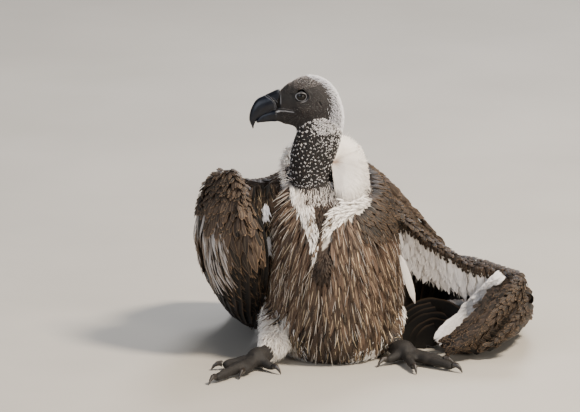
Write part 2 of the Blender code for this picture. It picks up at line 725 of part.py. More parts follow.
def main():
    clear_scene()
    skin = material("skin", SKIN_COLOUR, 0.55)
    down = material("down", DOWN_COLOUR, 0.95)
    brown = material("brown_feather", BROWN_COLOUR, 0.75)
    dark = material("flight_feather", DARK_COLOUR, 0.60)
    horn = material("horn", HORN_COLOUR, 0.30)
    wet = material("eye", EYE_COLOUR, 0.05)

    trunk = make_trunk(brown)
    neck_upper, neck_lower = make_neck(skin)
    ruff = make_ruff(down)
    head = make_head(skin)
    bill_upper, bill_lower, cere = make_bill(horn)
    eyes = [make_eye("eye_left", EYE_SIDE, wet), make_eye("eye_right", -EYE_SIDE, wet)]
    for eye in eyes:
        trim(head, eye)
    trim(cere, head)
    trim(bill_upper, head)
    trim(bill_lower, head, cere, bill_upper)
    trim(neck_upper, head)
    trim(neck_lower, trunk)
    trim(ruff, neck_lower, neck_upper, trunk)

    left = make_leg(
        "left",
        (0.050, 0.050, 0.016),
        (0.108, -0.026, 0.019),
        {"inner": (0.126, -0.108), "middle": (0.197, -0.098), "outer": (0.186, -0.050), "back": (0.066, -0.060)},
        (down, skin, horn),
    )
    right = make_leg(
        "right",
        (-0.066, 0.014, 0.016),
        (-0.120, -0.068, 0.018),
        {"inner": (-0.148, -0.140), "middle": (-0.195, -0.176), "outer": (-0.192, -0.080), "back": (-0.084, -0.108)},
        (down, skin, horn),
    )
    for thigh, tarsus, toes, claws in (left, right):
        stand_on_floor(thigh, tarsus, *toes, *claws)
        trim(thigh, trunk)
        trim(tarsus, thigh, trunk)
        for i, toe in enumerate(toes):
            trim(toe, tarsus, thigh, trunk, *toes[:i])
        for toe, claw in zip(toes, claws):
            trim(claw, *toes)
    stand_on_floor(trunk)

    tail = make_tail(dark)
    trim(tail, trunk)
    roofs = [
        make_scapulars("scapulars_left", LEFT_SCAPULAR_LINES, brown),
        make_scapulars("scapulars_right", RIGHT_SCAPULAR_LINES, brown),
    ]
    for roof in roofs:
        trim(roof, trunk, ruff)
    for wing in (make_right_wing(brown, dark), make_left_wing(brown, dark)):
        upper, forearm, hand, alula, web, primaries, secondaries = wing
        stand_on_floor(*wing)
        trim(upper, trunk, ruff, *roofs)
        trim(forearm, upper, *roofs)
        trim(hand, forearm)
        trim(alula, hand)
        trim(web, *roofs, trunk, ruff, neck_lower, upper, forearm, hand)
        trim(secondaries, forearm, upper, web, hand, trunk, tail, *roofs)
        trim(primaries, left[0], right[0], forearm, hand, alula, web, secondaries, trunk, tail)
        if wing[0].name.startswith("wing_left"):
            for part in (hand, alula, primaries):
                trim(part, left[1], *left[2], *left[3])
    shift_to_origin()


main()
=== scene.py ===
import math

import bpy
import numpy as np
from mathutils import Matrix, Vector
from mathutils.bvhtree import BVHTree
from mathutils.kdtree import KDTree


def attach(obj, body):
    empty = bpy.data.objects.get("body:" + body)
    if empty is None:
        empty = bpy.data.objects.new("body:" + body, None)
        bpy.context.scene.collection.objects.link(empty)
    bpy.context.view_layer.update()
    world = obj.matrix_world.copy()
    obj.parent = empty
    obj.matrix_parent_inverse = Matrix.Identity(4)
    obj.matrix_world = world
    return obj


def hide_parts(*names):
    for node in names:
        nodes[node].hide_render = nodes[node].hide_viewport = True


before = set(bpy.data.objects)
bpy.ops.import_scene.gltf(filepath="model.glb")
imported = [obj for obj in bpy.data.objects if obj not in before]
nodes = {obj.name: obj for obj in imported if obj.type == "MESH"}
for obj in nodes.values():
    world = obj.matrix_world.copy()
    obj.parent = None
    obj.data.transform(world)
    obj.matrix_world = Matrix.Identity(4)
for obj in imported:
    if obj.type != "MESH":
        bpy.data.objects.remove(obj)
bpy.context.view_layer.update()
rng = np.random.default_rng(11)

# The bird's own directions: metres, the breast faces -Y, the bill points to -X, +X is its left.
# Places below are given there and moved into the frame by this.
shift = np.array((-0.04561, -0.15510, 0.0))
headAt = np.array((-0.052, 0.000, 0.424)) + shift
eyeDrop = 1.6  # the eye sits this far below the head's own zero, millimetres
headFrom = 0.34  # relief of the head starts above this height
seen = np.array((0.0, 0.225, 0.974))  # heights across the front are measured along this, a little from above
towards = np.array((0, -0.974, 0.225))  # from the bird to whoever looks at its front
clearance = {"skin": 0.0003, "claws": 0.0002, "feathers": 0.0004}  # lowest height over the floor
print("frame loaded", len(nodes), "nodes")


def at(*places):
    return np.array(places, float) + shift


def unit(rows):
    return rows / np.maximum(np.linalg.norm(rows, axis=-1, keepdims=True), 1e-9)


def smoothStep(value, low, high):
    t = np.clip((np.asarray(value, float) - low) / (high - low), 0, 1)
    return t * t * (3 - 2 * t)


def ridge(gap, width):
    # 1 on a line, falling off with the gap to it
    return np.exp(-((gap / width) ** 2))


def curveThrough(stations, count):
    # Catmull-Rom, evenly in its parameter
    rows = np.array(stations, float)
    rows = np.vstack([2 * rows[0] - rows[1], rows, 2 * rows[-1] - rows[-2]])
    places = np.linspace(0, len(rows) - 3, count)
    i = np.minimum(places.astype(int), len(rows) - 4)
    t = (places - i).reshape((-1,) + (1,) * (rows.ndim - 1))
    a, b, c, d = rows[i], rows[i + 1], rows[i + 2], rows[i + 3]
    return 0.5 * (2 * b + (c - a) * t + (2 * a - 5 * b + 4 * c - d) * t**2 + (3 * b - a - 3 * c + d) * t**3)


def toLine(places, line):
    # Distance of each place to a polyline, and how far along it, 0 to 1
    line = np.array(line, float)
    best = np.full(len(places), 1e9)
    along = np.zeros(len(places))
    for k in range(len(line) - 1):
        a, ab = line[k], line[k + 1] - line[k]
        t = np.clip(((places - a) @ ab) / max(ab @ ab, 1e-12), 0, 1)
        gap = np.linalg.norm(places - (a + t[:, None] * ab), axis=1)
        closer = gap < best
        best = np.where(closer, gap, best)
        along = np.where(closer, (k + t) / (len(line) - 1), along)
    return best, along


def colour(code, alpha=1.0):
    # sRGB hex to linear
    parts = [int(code[i : i + 2], 16) / 255 for i in (1, 3, 5)]
    return (*[p / 12.92 if p <= 0.04045 else ((p + 0.055) / 1.055) ** 2.4 for p in parts], alpha)


def feed(socket, value):
    # Takes a number, a hex colour, a socket, or a node, which stands for its first output in use
    if isinstance(value, bpy.types.Node):
        value = next(found for found in value.outputs if found.enabled)
    if isinstance(value, bpy.types.NodeSocket):
        socket.id_data.links.new(value, socket)
    else:
        socket.default_value = colour(value) if isinstance(value, str) else value


def addNode(tree, kind, links=None, stops=None, **settings):
    made = tree.nodes.new("ShaderNode" + kind)
    for key, value in settings.items():
        setattr(made, key, value)
    for key, value in (links or {}).items():
        feed(made.inputs[key], value)
    if stops:
        bar = made.color_ramp.elements
        while len(bar) < len(stops):
            bar.new(0.5)
        for element, (place, tint) in zip(bar, stops):
            element.position = place
            element.color = colour(tint) if isinstance(tint, str) else (tint, tint, tint, 1)
    return made


def newMaterial(name):
    made = bpy.data.materials.new(name)
    made.use_nodes = True
    return made, made.node_tree, made.node_tree.nodes["Principled BSDF"]


def setShader(shader, **values):
    for key, value in values.items():
        feed(shader.inputs[key.replace("_", " ")], value)


def deselectAll():
    if bpy.context.object and bpy.context.object.mode != "OBJECT":
        bpy.ops.object.mode_set(mode="OBJECT")
    bpy.ops.object.select_all(action="DESELECT")


def activate(thing):
    deselectAll()
    thing.select_set(True)
    bpy.context.view_layer.objects.active = thing


def editAll(thing):
    # Goes into edit mode with everything selected
    activate(thing)
    bpy.ops.object.mode_set(mode="EDIT")
    bpy.ops.mesh.select_all(action="SELECT")


def leaveEdit():
    bpy.ops.object.mode_set(mode="OBJECT")


def pointsOf(mesh):
    found = np.zeros(len(mesh.vertices) * 3)
    mesh.vertices.foreach_get("co", found)
    return found.reshape(-1, 3)


def normalsOf(mesh):
    found = np.zeros(len(mesh.vertices) * 3)
    mesh.vertex_normals.foreach_get("vector", found)
    return found.reshape(-1, 3)


def setPoints(mesh, places):
    mesh.vertices.foreach_set("co", np.ascontiguousarray(places, dtype=float).ravel())
    mesh.update()


def giveAttribute(mesh, name, values):
    made = mesh.attributes.new(name, "FLOAT", "POINT")
    made.data.foreach_set("value", np.ascontiguousarray(values, dtype=np.float32))


def applyModifier(thing, kind, **settings):
    activate(thing)
    step = thing.modifiers.new(kind.lower(), kind)
    for key, value in settings.items():
        setattr(step, key, value)
    bpy.ops.object.modifier_apply(modifier=step.name)


def joinedCopy(name, members, voxel, smoothing):
    # One closed surface round copies of some CAD nodes
    copies = []
    for member in members:
        copy = bpy.data.objects.new(name + "_part", nodes[member].data.copy())
        bpy.context.scene.collection.objects.link(copy)
        copies.append(copy)
    deselectAll()
    for copy in copies:
        copy.select_set(True)
    bpy.context.view_layer.objects.active = copies[0]
    bpy.ops.object.join()
    made = bpy.context.object
    made.name = made.data.name = name
    editAll(made)
    bpy.ops.mesh.remove_doubles(threshold=0.00001)
    leaveEdit()
    made.data.materials.clear()
    made.data.remesh_voxel_size = voxel
    made.data.remesh_voxel_adaptivity = 0
    bpy.ops.object.voxel_remesh()
    applyModifier(made, "SMOOTH", factor=0.5, iterations=smoothing)
    return made


def surfaceOf(thing):
    # A search tree over triangles, with what is needed to read values between corners
    mesh = thing.data
    mesh.calc_loop_triangles()
    triangles = np.zeros(len(mesh.loop_triangles) * 3, int)
    mesh.loop_triangles.foreach_get("vertices", triangles)
    triangles = triangles.reshape(-1, 3)
    places = pointsOf(mesh)
    return {
        "tree": BVHTree.FromPolygons(places.tolist(), triangles.tolist(), all_triangles=True),
        "triangles": triangles,
        "places": places,
        "normals": normalsOf(mesh),
    }


def nearestOn(surface, places):
    # Nearest points, smooth normals, triangle numbers and corner weights
    hits, numbers = np.empty((len(places), 3)), np.empty(len(places), int)
    for k, place in enumerate(places):
        spot, _, number, _ = surface["tree"].find_nearest(place)
        hits[k], numbers[k] = spot, number
    corners = surface["places"][surface["triangles"][numbers]]
    a, b, c = corners[:, 0], corners[:, 1], corners[:, 2]
    whole = np.cross(b - a, c - a)
    area = np.maximum((whole**2).sum(1), 1e-24)
    wb = (np.cross(hits - a, c - a) * whole).sum(1) / area
    wc = (np.cross(b - a, hits - a) * whole).sum(1) / area
    weights = np.clip(np.stack([1 - wb - wc, wb, wc], 1), 0, 1)
    normals = (surface["normals"][surface["triangles"][numbers]] * weights[:, :, None]).sum(1)
    return hits, unit(normals), numbers, weights


# The shape that the plumage fills, and which CAD node each place belongs to
hardNodes = [n for n in nodes if n.startswith(("bill", "cere", "claw", "eye"))]
vaneNodes = [n for n in nodes if n == "tail" or n.endswith(("primaries", "secondaries")) or n.startswith("scapulars")]
fleshNodes = [n for n in nodes if n not in hardNodes + vaneNodes and n != "ruff"]
formLook = {"voxel": 0.0034, "smoothing": 4}
cropLook = {"x": -0.0195, "height": 0.141, "halfWidth": 0.0150, "halfHeight": 0.0215, "push": (0, -0.0140, -0.0015)}
plumage = joinedCopy("plumageForm", fleshNodes + vaneNodes + ["ruff"], formLook["voxel"], formLook["smoothing"])


def cropBulge(places):
    # The full crop swells forward below the throat
    own = places - shift
    across, high = own[:, 0] - cropLook["x"], own @ seen - cropLook["height"]
    swell = np.exp(-((across / cropLook["halfWidth"]) ** 2) - (high / cropLook["halfHeight"]) ** 2)
    return places + np.array(cropLook["push"]) * (swell * (own[:, 1] < 0.0))[:, None]


setPoints(plumage.data, cropBulge(pointsOf(plumage.data)))
form = surfaceOf(plumage)
owners, ownerNames, soup, soupFaces = [], sorted(fleshNodes + vaneNodes + ["ruff"]), [], []
for number, member in enumerate(ownerNames):
    mesh = nodes[member].data
    mesh.calc_loop_triangles()
    start = sum(len(p) for p in soup)
    faces = [[start + v for v in t.vertices] for t in mesh.loop_triangles]
    soup.append(pointsOf(mesh))
    soupFaces += faces
    owners += [number] * len(faces)
ownerTree = BVHTree.FromPolygons(np.vstack(soup).tolist(), soupFaces, all_triangles=True)
print("plumage form", len(form["triangles"]))


def ownerOf(places):
    return np.array([owners[ownerTree.find_nearest(p)[2]] for p in places])


def inMetres(*lines):
    return [np.array(line) / 1000 for line in lines]


# Feather lines of both wings and the tail from root to tip, in millimetres.
# The coverts over them lie the same way.
rightPrimaryLines = inMetres(
    [(-146, -30, 284), (-114, -38, 207), (-111, -12, 132), (-122, 68, 62), (-128, 155, 14), (-133, 270, 6)],
    [(-162, -26, 296), (-148, -38, 213), (-148, -8, 130), (-146, 70, 58), (-140, 180, 16), (-132, 360, 6)],
    [(-178, -10, 294), (-183, -20, 215), (-181, 16, 130), (-170, 95, 62), (-152, 210, 20), (-130, 430, 6)],
    [(-190, 10, 286), (-206, 10, 215), (-201, 52, 134), (-184, 130, 68), (-160, 245, 24), (-124, 455, 7)],
)
rightSecondaryLines = inMetres(
    [(-195, 30, 272), (-211, 38, 212), (-206, 82, 138), (-188, 160, 74), (-162, 250, 34), (-128, 385, 10)],
    [(-194, 64, 262), (-210, 82, 206), (-206, 130, 142), (-184, 200, 86), (-154, 280, 48), (-118, 385, 20)],
    [(-180, 102, 250), (-194, 124, 200), (-188, 168, 148), (-166, 230, 100), (-136, 300, 66), (-102, 378, 36)],
    [(-156, 134, 237), (-164, 158, 197), (-156, 196, 156), (-136, 248, 116), (-108, 304, 86), (-78, 362, 58)],
)
leftPrimaryLines = inMetres(
    [(174, -18, 13), (184, 40, 8), (170, 180, 6), (132, 400, 6)],
    [(204, -12, 28), (243, 22, 12), (238, 175, 7), (162, 445, 6)],
    [(240, -2, 56), (284, 42, 36), (278, 180, 16), (204, 420, 7)],
    [(272, 12, 86), (303, 60, 62), (298, 176, 30), (240, 375, 9)],
)
leftSecondaryLines = inMetres(
    [(288, 26, 104), (304, 78, 84), (297, 180, 46), (258, 338, 14)],
    [(274, 62, 106), (284, 112, 89), (277, 200, 56), (246, 348, 18)],
    [(248, 104, 108), (256, 150, 90), (250, 228, 55), (222, 354, 8)],
    [(216, 146, 110), (220, 186, 93), (212, 252, 56), (188, 350, 8)],
    [(172, 158, 122), (172, 196, 100), (162, 254, 60), (140, 332, 8)],
)
leftTertialLines = inMetres(
    [(186, 140, 122), (184, 172, 96), (176, 214, 50), (160, 262, 6)],
    [(150, 124, 142), (148, 152, 106), (141, 186, 54), (128, 226, 6)],
    [(114, 110, 160), (112, 134, 116), (106, 166, 58), (96, 200, 6)],
    [(80, 104, 170), (78, 124, 124), (74, 150, 62), (66, 182, 6)],
)
leftScapularLines = inMetres(
    [(24, 84, 302), (42, 140, 272), (58, 210, 204), (70, 290, 126)],
    [(62, 74, 279), (84, 134, 243), (100, 208, 176), (110, 300, 108)],
    [(96, 86, 240), (122, 142, 198), (138, 214, 140), (144, 308, 88)],
    [(134, 108, 192), (160, 158, 151), (172, 226, 118), (170, 312, 76)],
)
rightScapularLines = inMetres(
    [(-40, 84, 302), (-54, 140, 274), (-62, 212, 206), (-64, 290, 128)],
    [(-78, 66, 274), (-96, 130, 255), (-108, 206, 199), (-102, 300, 124)],
    [(-114, 68, 258), (-136, 130, 249), (-148, 204, 205), (-134, 306, 124)],
    [(-142, 80, 264), (-168, 134, 250), (-184, 198, 204), (-164, 298, 130)],
)
tailLines = []
for turn in np.linspace(-1, 1, 5):
    opened, lift, reach = turn * 0.40, 0.012 * (1 - turn * turn), 0.262 - 0.020 * abs(turn)
    root = np.array((turn * 0.030, 0.225, 0.040 + lift))
    way = np.array((math.sin(opened), math.cos(opened), 0))
    tailLines.append(
        [
            root + way * reach * part - (0, 0, (0.034 + lift) * drop)
            for part, drop in ((0, 0), (0.33, 0.48), (0.66, 0.83), (1, 1))
        ]
    )
leftEdge = at(
    (0.060, 0.030, 0.256), (0.102, 0.034, 0.222), (0.152, 0.028, 0.180), (0.214, 0.012, 0.149), (0.262, 0.002, 0.143),
    (0.290, 0.000, 0.128), (0.278, -0.008, 0.106), (0.244, -0.016, 0.072), (0.206, -0.024, 0.038),
    (0.172, -0.024, 0.015)
)
rightEdge = at(
    (-0.084, 0.018, 0.261), (-0.110, 0.000, 0.261), (-0.138, -0.016, 0.273), (-0.166, -0.022, 0.304),
    (-0.150, -0.034, 0.279), (-0.136, -0.040, 0.233), (-0.124, -0.040, 0.194), (-0.114, -0.036, 0.160)
)


def guides(lines, count=12):
    curves = [curveThrough(line, count) + shift for line in lines]
    return np.vstack(curves), np.vstack([unit(np.gradient(c, axis=0)) for c in curves])


flows = {
    "rightWing": guides(rightPrimaryLines + rightSecondaryLines),
    "leftWing": guides(leftPrimaryLines + leftSecondaryLines),
    "leftScapulars": guides(leftScapularLines),
    "rightScapulars": guides(rightScapularLines),
    "tail": guides(tailLines),
}


def flowOf(group, places, normals):
    # The way feathers point at each place, along the surface
    side = (places - shift)[:, 0]
    if group in flows:
        spots, ways = flows[group]
        gap = ((places[:, None] - spots[None]) ** 2).sum(2)
        weight = 1 / (gap + 0.0001) ** 2
        way = (weight[:, :, None] * ways[None]).sum(1)
    elif group == "rightFront":
        own = places - shift
        height = own @ seen
        turn = np.radians(np.interp(height, (0.04, 0.09, 0.13, 0.17, 0.23), (42, 36, 28, 17, 3)))
        turn = turn * (1 - 0.45 * smoothStep(-own[:, 0], 0.185, 0.205))
        way = np.stack([np.sin(turn), 0.15 + 0 * turn, -np.cos(turn)], 1)
    elif group == "ruff":
        own = places - shift
        middle = np.array((-0.006, -0.016, 0.300))
        way = unit(own - middle) * (1, 0.55, 1) + (0.10, 0.0, 0.05)
        behind = smoothStep(own[:, 0], 0.004, -0.022)[:, None]
        away = unit((own - np.array((-0.036, 0.004, 0.0))) * (1, 1, 0)) + (0, 0, -0.25)
        way = way * (1 - behind) + away * behind
    elif group == "silk":
        # down along the nearer of the two pale bands
        across = np.stack([side, (places - shift) @ seen], 1)
        nearest, way = np.full(len(places), 1e9), np.tile((0.0, 0.3, -1.0), (len(places), 1))
        for stroke in breastMarks["white"]:
            line = np.array(stroke)[:, :2]
            gap, along = toLine(across, line)
            turns = unit(np.gradient(line, axis=0))
            turn = np.stack([np.interp(along, np.linspace(0, 1, len(line)), turns[:, k]) for k in (0, 1)], 1)
            closer = gap < nearest
            nearest[closer] = gap[closer]
            way[closer] = np.stack([turn[:, 0], 0.25 + 0 * side, turn[:, 1] - 0.15], 1)[closer]
    elif group == "head":
        way = np.tile((1.0, 0.0, -0.15), (len(places), 1))
        own = places - headAt
        low = smoothStep(own[:, 2], 0.004, -0.040) * smoothStep(own[:, 0], -0.010, 0.030)
        way = way + np.stack([-0.9 * low, 0 * low, -1.6 * low], 1)
    elif group == "neck":
        way = np.tile((0.10, 0.05, -1.0), (len(places), 1))
    elif group == "leg":
        way = np.tile((0.0, -0.35, -1.0), (len(places), 1))
    elif group == "hand":
        way = np.tile((-0.75, 0.10, -0.62), (len(places), 1))
    elif group == "underwing":
        way = np.stack([0.9 * (side - 0.145) + 0.02, 0.25 + 0 * side, -1.0 + 0 * side], 1)
    else:
        way = np.stack([0.9 * side, 0.50 + 0 * side, -1.0 + 0 * side], 1)
    way = way - normals * (way * normals).sum(1, keepdims=True)
    return unit(way)


# Markings, the same on skin and coat
# Strokes across the front: x, the height seen from a little above, and half the stroke's width
breastMarks = {
    "white": [
        [
            (-0.074, 0.266, 0.008), (-0.068, 0.255, 0.012), (-0.054, 0.227, 0.0125), (-0.0425, 0.1985, 0.0095),
            (-0.0365, 0.174, 0.0070), (-0.0345, 0.150, 0.0050)
        ],
        [
            (0.058, 0.240, 0.010), (0.036, 0.232, 0.0145), (0.0170, 0.2215, 0.0145), (-0.0020, 0.2025, 0.0100),
            (-0.0140, 0.1825, 0.0055), (-0.0175, 0.172, 0.003)
        ],
    ],
    "dark": [
        [(-0.019, 0.247, 0.012), (-0.022, 0.215, 0.009), (-0.026, 0.190, 0.006)],
        [(-0.021, 0.176, 0.009), (-0.0195, 0.152, 0.0165), (-0.0195, 0.132, 0.0155)]
    ],
    "blueWhite": [[(-0.106, 0.240, 0.004), (-0.105, 0.219, 0.004)], [(-0.106, 0.190, 0.005), (-0.104, 0.166, 0.006)]],
}
wingMarks = {
    "bandEdge": (
        (0.060, 0.098, 0.122, 0.155, 0.176, 0.182, 0.194, 0.217, 0.248, 0.256, 0.300),
        (0.215, 0.202, 0.200, 0.179, 0.177, 0.161, 0.150, 0.138, 0.132, 0.127, 0.110)
    ),
    "handEdge": [
        (0.2600, 0.1320, 0.0060), (0.2400, 0.1110, 0.0065), (0.2220, 0.0895, 0.0075), (0.2045, 0.0685, 0.0085),
        (0.1840, 0.0480, 0.0085), (0.1680, 0.0370, 0.0065)
    ],
    "handStrip": [
        (0.259, 0.126, 0.007), (0.225, 0.084, 0.008), (0.200, 0.059, 0.008), (0.175, 0.036, 0.007),
        (0.163, 0.023, 0.006)
    ],
}


def insideStroke(flat, line):
    line = np.array(line)
    gap, along = toLine(flat, line[:, :2])
    half = np.interp(along, np.linspace(0, 1, len(line)), line[:, 2])
    return gap < half, gap / half


def marksAt(places, normals, owner):
    own = places - shift
    flat = np.stack([own[:, 0], own @ seen], 1)
    count = len(places)
    facing = normals @ towards > -0.15
    names = np.array(ownerNames)[owner]
    on = {key: np.char.startswith(names, key) for key in ("trunk", "ruff", "thigh", "wing_left", "wing_right")}
    arm = np.char.endswith(names, "propatagium") | np.char.endswith(names, "arm")
    tone = np.full(count, 0.30)
    pale = np.zeros(count)
    streak = np.full(count, 0.15)
    rim = np.full(count, 0.45)
    cool = np.full(count, 0.5)
    breast = on["trunk"] & facing
    # darker towards the floor: painted shade under the body; the top of the breast is darker too
    tone[breast] = (
        0.70 - 0.46 * smoothStep(own[breast, 2], 0.12, 0.03) - 0.25 * smoothStep(own[breast, 2], 0.235, 0.27)
    )
    streak[breast] = 0.95
    rim[breast] = 0.25
    cool[breast] = 0.1
    kind = np.full(count, 0)  # 0 contour, 1 breast, 2 silk, 3 fur, 4 fluff of the socks
    kind[breast] = 1
    front = breast & (own[:, 1] < 0.02)
    for stroke in breastMarks["white"]:
        hit = front & insideStroke(flat, stroke)[0]
        pale[hit], kind[hit], cool[hit] = 1, 2, 0.2
    for stroke in breastMarks["dark"]:
        hit = front & insideStroke(flat, stroke)[0] & (pale < 0.5)
        tone[hit], streak[hit], rim[hit], kind[hit] = 0.42, 0.0, 0.0, 3
    for stroke in breastMarks["blueWhite"]:
        hit = facing & insideStroke(flat, stroke)[0]
        pale[hit], cool[hit] = 0.9, 0.9
    lowBack = (
        on["trunk"] & ~facing & (own[:, 1] > 0.12) & (own[:, 2] > 0.075) & (own[:, 2] < 0.235)
        & (np.abs(own[:, 0]) < 0.075)
    )
    pale[lowBack], cool[lowBack] = 0.95, 0.35
    rump = on["trunk"] & ~facing & (own[:, 1] > 0.18) & (own[:, 2] <= 0.075)
    tone[rump] = 0.2
    pale[on["ruff"]], cool[on["ruff"]] = 1, 0.25
    left = on["wing_left"]
    below = (
        left & facing & arm & (normals[:, 2] < 0.35) & (flat[:, 1] < np.interp(flat[:, 0], *wingMarks["bandEdge"]))
        & (toLine(places, leftEdge)[0] > 0.0125)
    )
    pale[below], cool[below] = 1, 0.4
    strip = left & facing & insideStroke(flat, wingMarks["handStrip"])[0]
    pale[strip], cool[strip] = 1, 0.5
    thigh = on["thigh"]
    pale[thigh] = 1 - 0.75 * smoothStep(own[thigh, 2], 0.055, 0.085)
    cool[thigh] = 0.15
    sockEdge = np.interp(flat[:, 1], (0.010, 0.035, 0.065, 0.082), (-0.048, -0.055, -0.076, -0.090))
    leftSock = (flat[:, 0] > 0.026) & (
        flat[:, 1] < np.interp(flat[:, 0], (0.026, 0.060, 0.092), (0.012, 0.032, 0.046))
    )
    fluffy = on["trunk"] & facing & (flat[:, 1] < 0.082) & ((flat[:, 0] < sockEdge) | leftSock)
    pale[fluffy], cool[fluffy], kind[fluffy] = 0.95, 0.15, 4
    inner = (on["wing_right"] | left) & ~facing & (normals[:, 2] < 0.2)
    tone[inner] = 0.2
    wing = on["wing_left"] | on["wing_right"]
    rim[wing] = 0.75
    tone[wing & (tone > 0.25)] = 0.26
    sun = on["wing_right"] & facing
    tone[sun] = 0.28 + 0.25 * smoothStep(own[sun, 0], -0.185, -0.205)
    # darker towards the floor: painted shade on the lower part of the wing
    tone[sun] *= 0.40 + 0.60 * smoothStep(own[sun, 2], 0.07, 0.15)
    streak[sun] = 0.25 + 0.65 * smoothStep(own[sun, 0], -0.180, -0.200)
    return {
        "tone": tone, "pale": pale, "streak": streak, "rim": rim, "cool": cool, "kind": kind, "facing": facing,
        "names": names, "flat": flat, "own": own
    }


# Flesh, under the coat
skinLook = {
    "voxel": 0.0042, "smoothing": 5,
    "coat": {
        "trunk": 0.0080, "neck_upper": 0.0022, "neck_lower": 0.0032, "head": 0.0013, "thigh": 0.0070,
        "tarsus": 0.0004, "toe": 0.0003, "wing": 0.0050
    },
    "eyeOpening": (0.0064, 0.0054),  # half length and half height of the open eye
    "eyeBall": 0.0090, "eyeSide": 0.0166,
}
skin = joinedCopy("skin", fleshNodes + ["cere", "bill_lower"], skinLook["voxel"], skinLook["smoothing"])


def edgesOf(mesh):
    found = np.zeros(len(mesh.edges) * 2, int)
    mesh.edges.foreach_get("vertices", found)
    return found.reshape(-1, 2)


def spreadOut(values, edges, times):
    # Evens out values over the neighbours of each vertex
    count = np.bincount(edges.ravel(), minlength=len(values))
    for _ in range(times):
        if values.ndim == 1:
            total = (
                np.bincount(edges[:, 0], values[edges[:, 1]], len(values))
                + np.bincount(edges[:, 1], values[edges[:, 0]], len(values))
            )
            values = 0.5 * values + 0.5 * total / np.maximum(count, 1)
        else:
            values = np.stack([spreadOut(values[:, k], edges, 1) for k in range(values.shape[1])], 1)
    return values


places = pointsOf(skin.data)
depth = np.full(len(places), 0.005)
skinOwner = ownerOf(places)
for number, member in enumerate(ownerNames):
    for key, value in skinLook["coat"].items():
        if member.startswith(key):
            depth[skinOwner == number] = value
forward = (headAt - places)[:, 0]
onHead = np.char.startswith(np.array(ownerNames)[skinOwner], "head")
high = (headAt - places)[:, 2] * -1
depth[onHead] = 0.0006 + 0.0010 * smoothStep(np.maximum(high[onHead] - 0.012, -0.030 - forward[onHead]), 0.0, 0.012)
inBill = (places[:, 2] > 0.355) & (forward > 0.028)
depth[inBill] = 0.0004
surface = surfaceOf(skin)
for k, (place, normal) in enumerate(zip(places, surface["normals"])):
    wall = surface["tree"].ray_cast(place - normal * 0.0004, -normal, 0.05)[3]
    if wall is not None:
        depth[k] = min(depth[k], 0.30 * wall)
edges = edgesOf(skin.data)
depth = spreadOut(depth, edges, 10)
for _ in range(3):
    setPoints(skin.data, pointsOf(skin.data) - normalsOf(skin.data) * depth[:, None] / 3)
applyModifier(skin, "SMOOTH", factor=0.5, iterations=2)
setPoints(skin.data, cropBulge(pointsOf(skin.data)))


def refine(chosen, cuts, smoothing):
    # Subdivides the faces round chosen vertices and rounds them off
    activate(skin)
    mesh = skin.data
    mesh.polygons.foreach_set("select", np.zeros(len(mesh.polygons), bool))
    mesh.edges.foreach_set("select", np.zeros(len(mesh.edges), bool))
    mesh.vertices.foreach_set("select", chosen)
    bpy.ops.object.mode_set(mode="EDIT")
    bpy.ops.mesh.select_mode(type="VERT")
    bpy.ops.mesh.subdivide(number_cuts=cuts)
    if smoothing:
        bpy.ops.mesh.vertices_smooth(factor=0.5, repeat=smoothing)
    leaveEdit()


def headParts(places):
    own = (places - headAt) * 1000  # millimetres: forward, up, sideways
    return -own[:, 0], own[:, 2], np.abs(own[:, 1]), np.sign(own[:, 1])


own = pointsOf(skin.data) - shift
refine((own[:, 2] > 0.352) & (np.abs(own[:, 0] + 0.03) < 0.12), 3, 10)
forward, up, side, _ = headParts(pointsOf(skin.data))
refine((np.hypot(forward, up) < 15.5) & (side > 10), 1, 2)
own = pointsOf(skin.data) - shift
refine((own[:, 2] < 0.040) & (own[:, 1] < -0.030) & ((own[:, 0] < -0.085) | (own[:, 0] > 0.065)), 1, 2)


def almondOf(forward, up):
    # The eye's opening is an almond: rounder below, flatter above, with a corner towards the bill
    across, high = skinLook["eyeOpening"][0] * 1000, skinLook["eyeOpening"][1] * 1000
    up = up + eyeDrop
    return np.hypot(forward / (across * np.where(forward > 0, 1.08, 1.0)), up / (high * np.where(up > 0, 0.92, 1.0)))


culmen = (
    (28, 33, 37, 41, 45.5, 53, 58, 61, 66, 70.4, 74, 76.6, 80),
    (3.8, 3.6, 3.5, 3.2, 0.6, -2.6, -4.4, -5.6, -7.6, -10.2, -13.2, -16.4, -24)
)


def fitProfile(places, profile, first, last):
    # Moves the top of the bill, or of the forehead, on to its profile as seen from the side
    forward, up, side, _ = headParts(places)
    near = (side < 2.0) & (forward > first - 2) & (up > -30)
    steps = np.arange(first, last, 1.5)

    def topAt(station):
        here = up[near & (np.abs(forward - station) < 1.5)]
        return here.max() if len(here) else np.nan

    top = np.array([topAt(station) for station in steps])
    known = ~np.isnan(top)
    change = np.interp(steps[known], *profile) - top[known]
    change = np.convolve(np.pad(change, 2, mode="edge"), np.ones(5) / 5, mode="valid")
    amount = (
        np.interp(forward, steps[known], change) * smoothStep(up, -26, -4) * smoothStep(forward, first - 4, first + 4)
        * smoothStep(last - forward, 0, 6)
    )
    print("profile moved by", round(float(change.min()), 2), round(float(change.max()), 2))
    places[:, 2] += amount / 1000
    return places


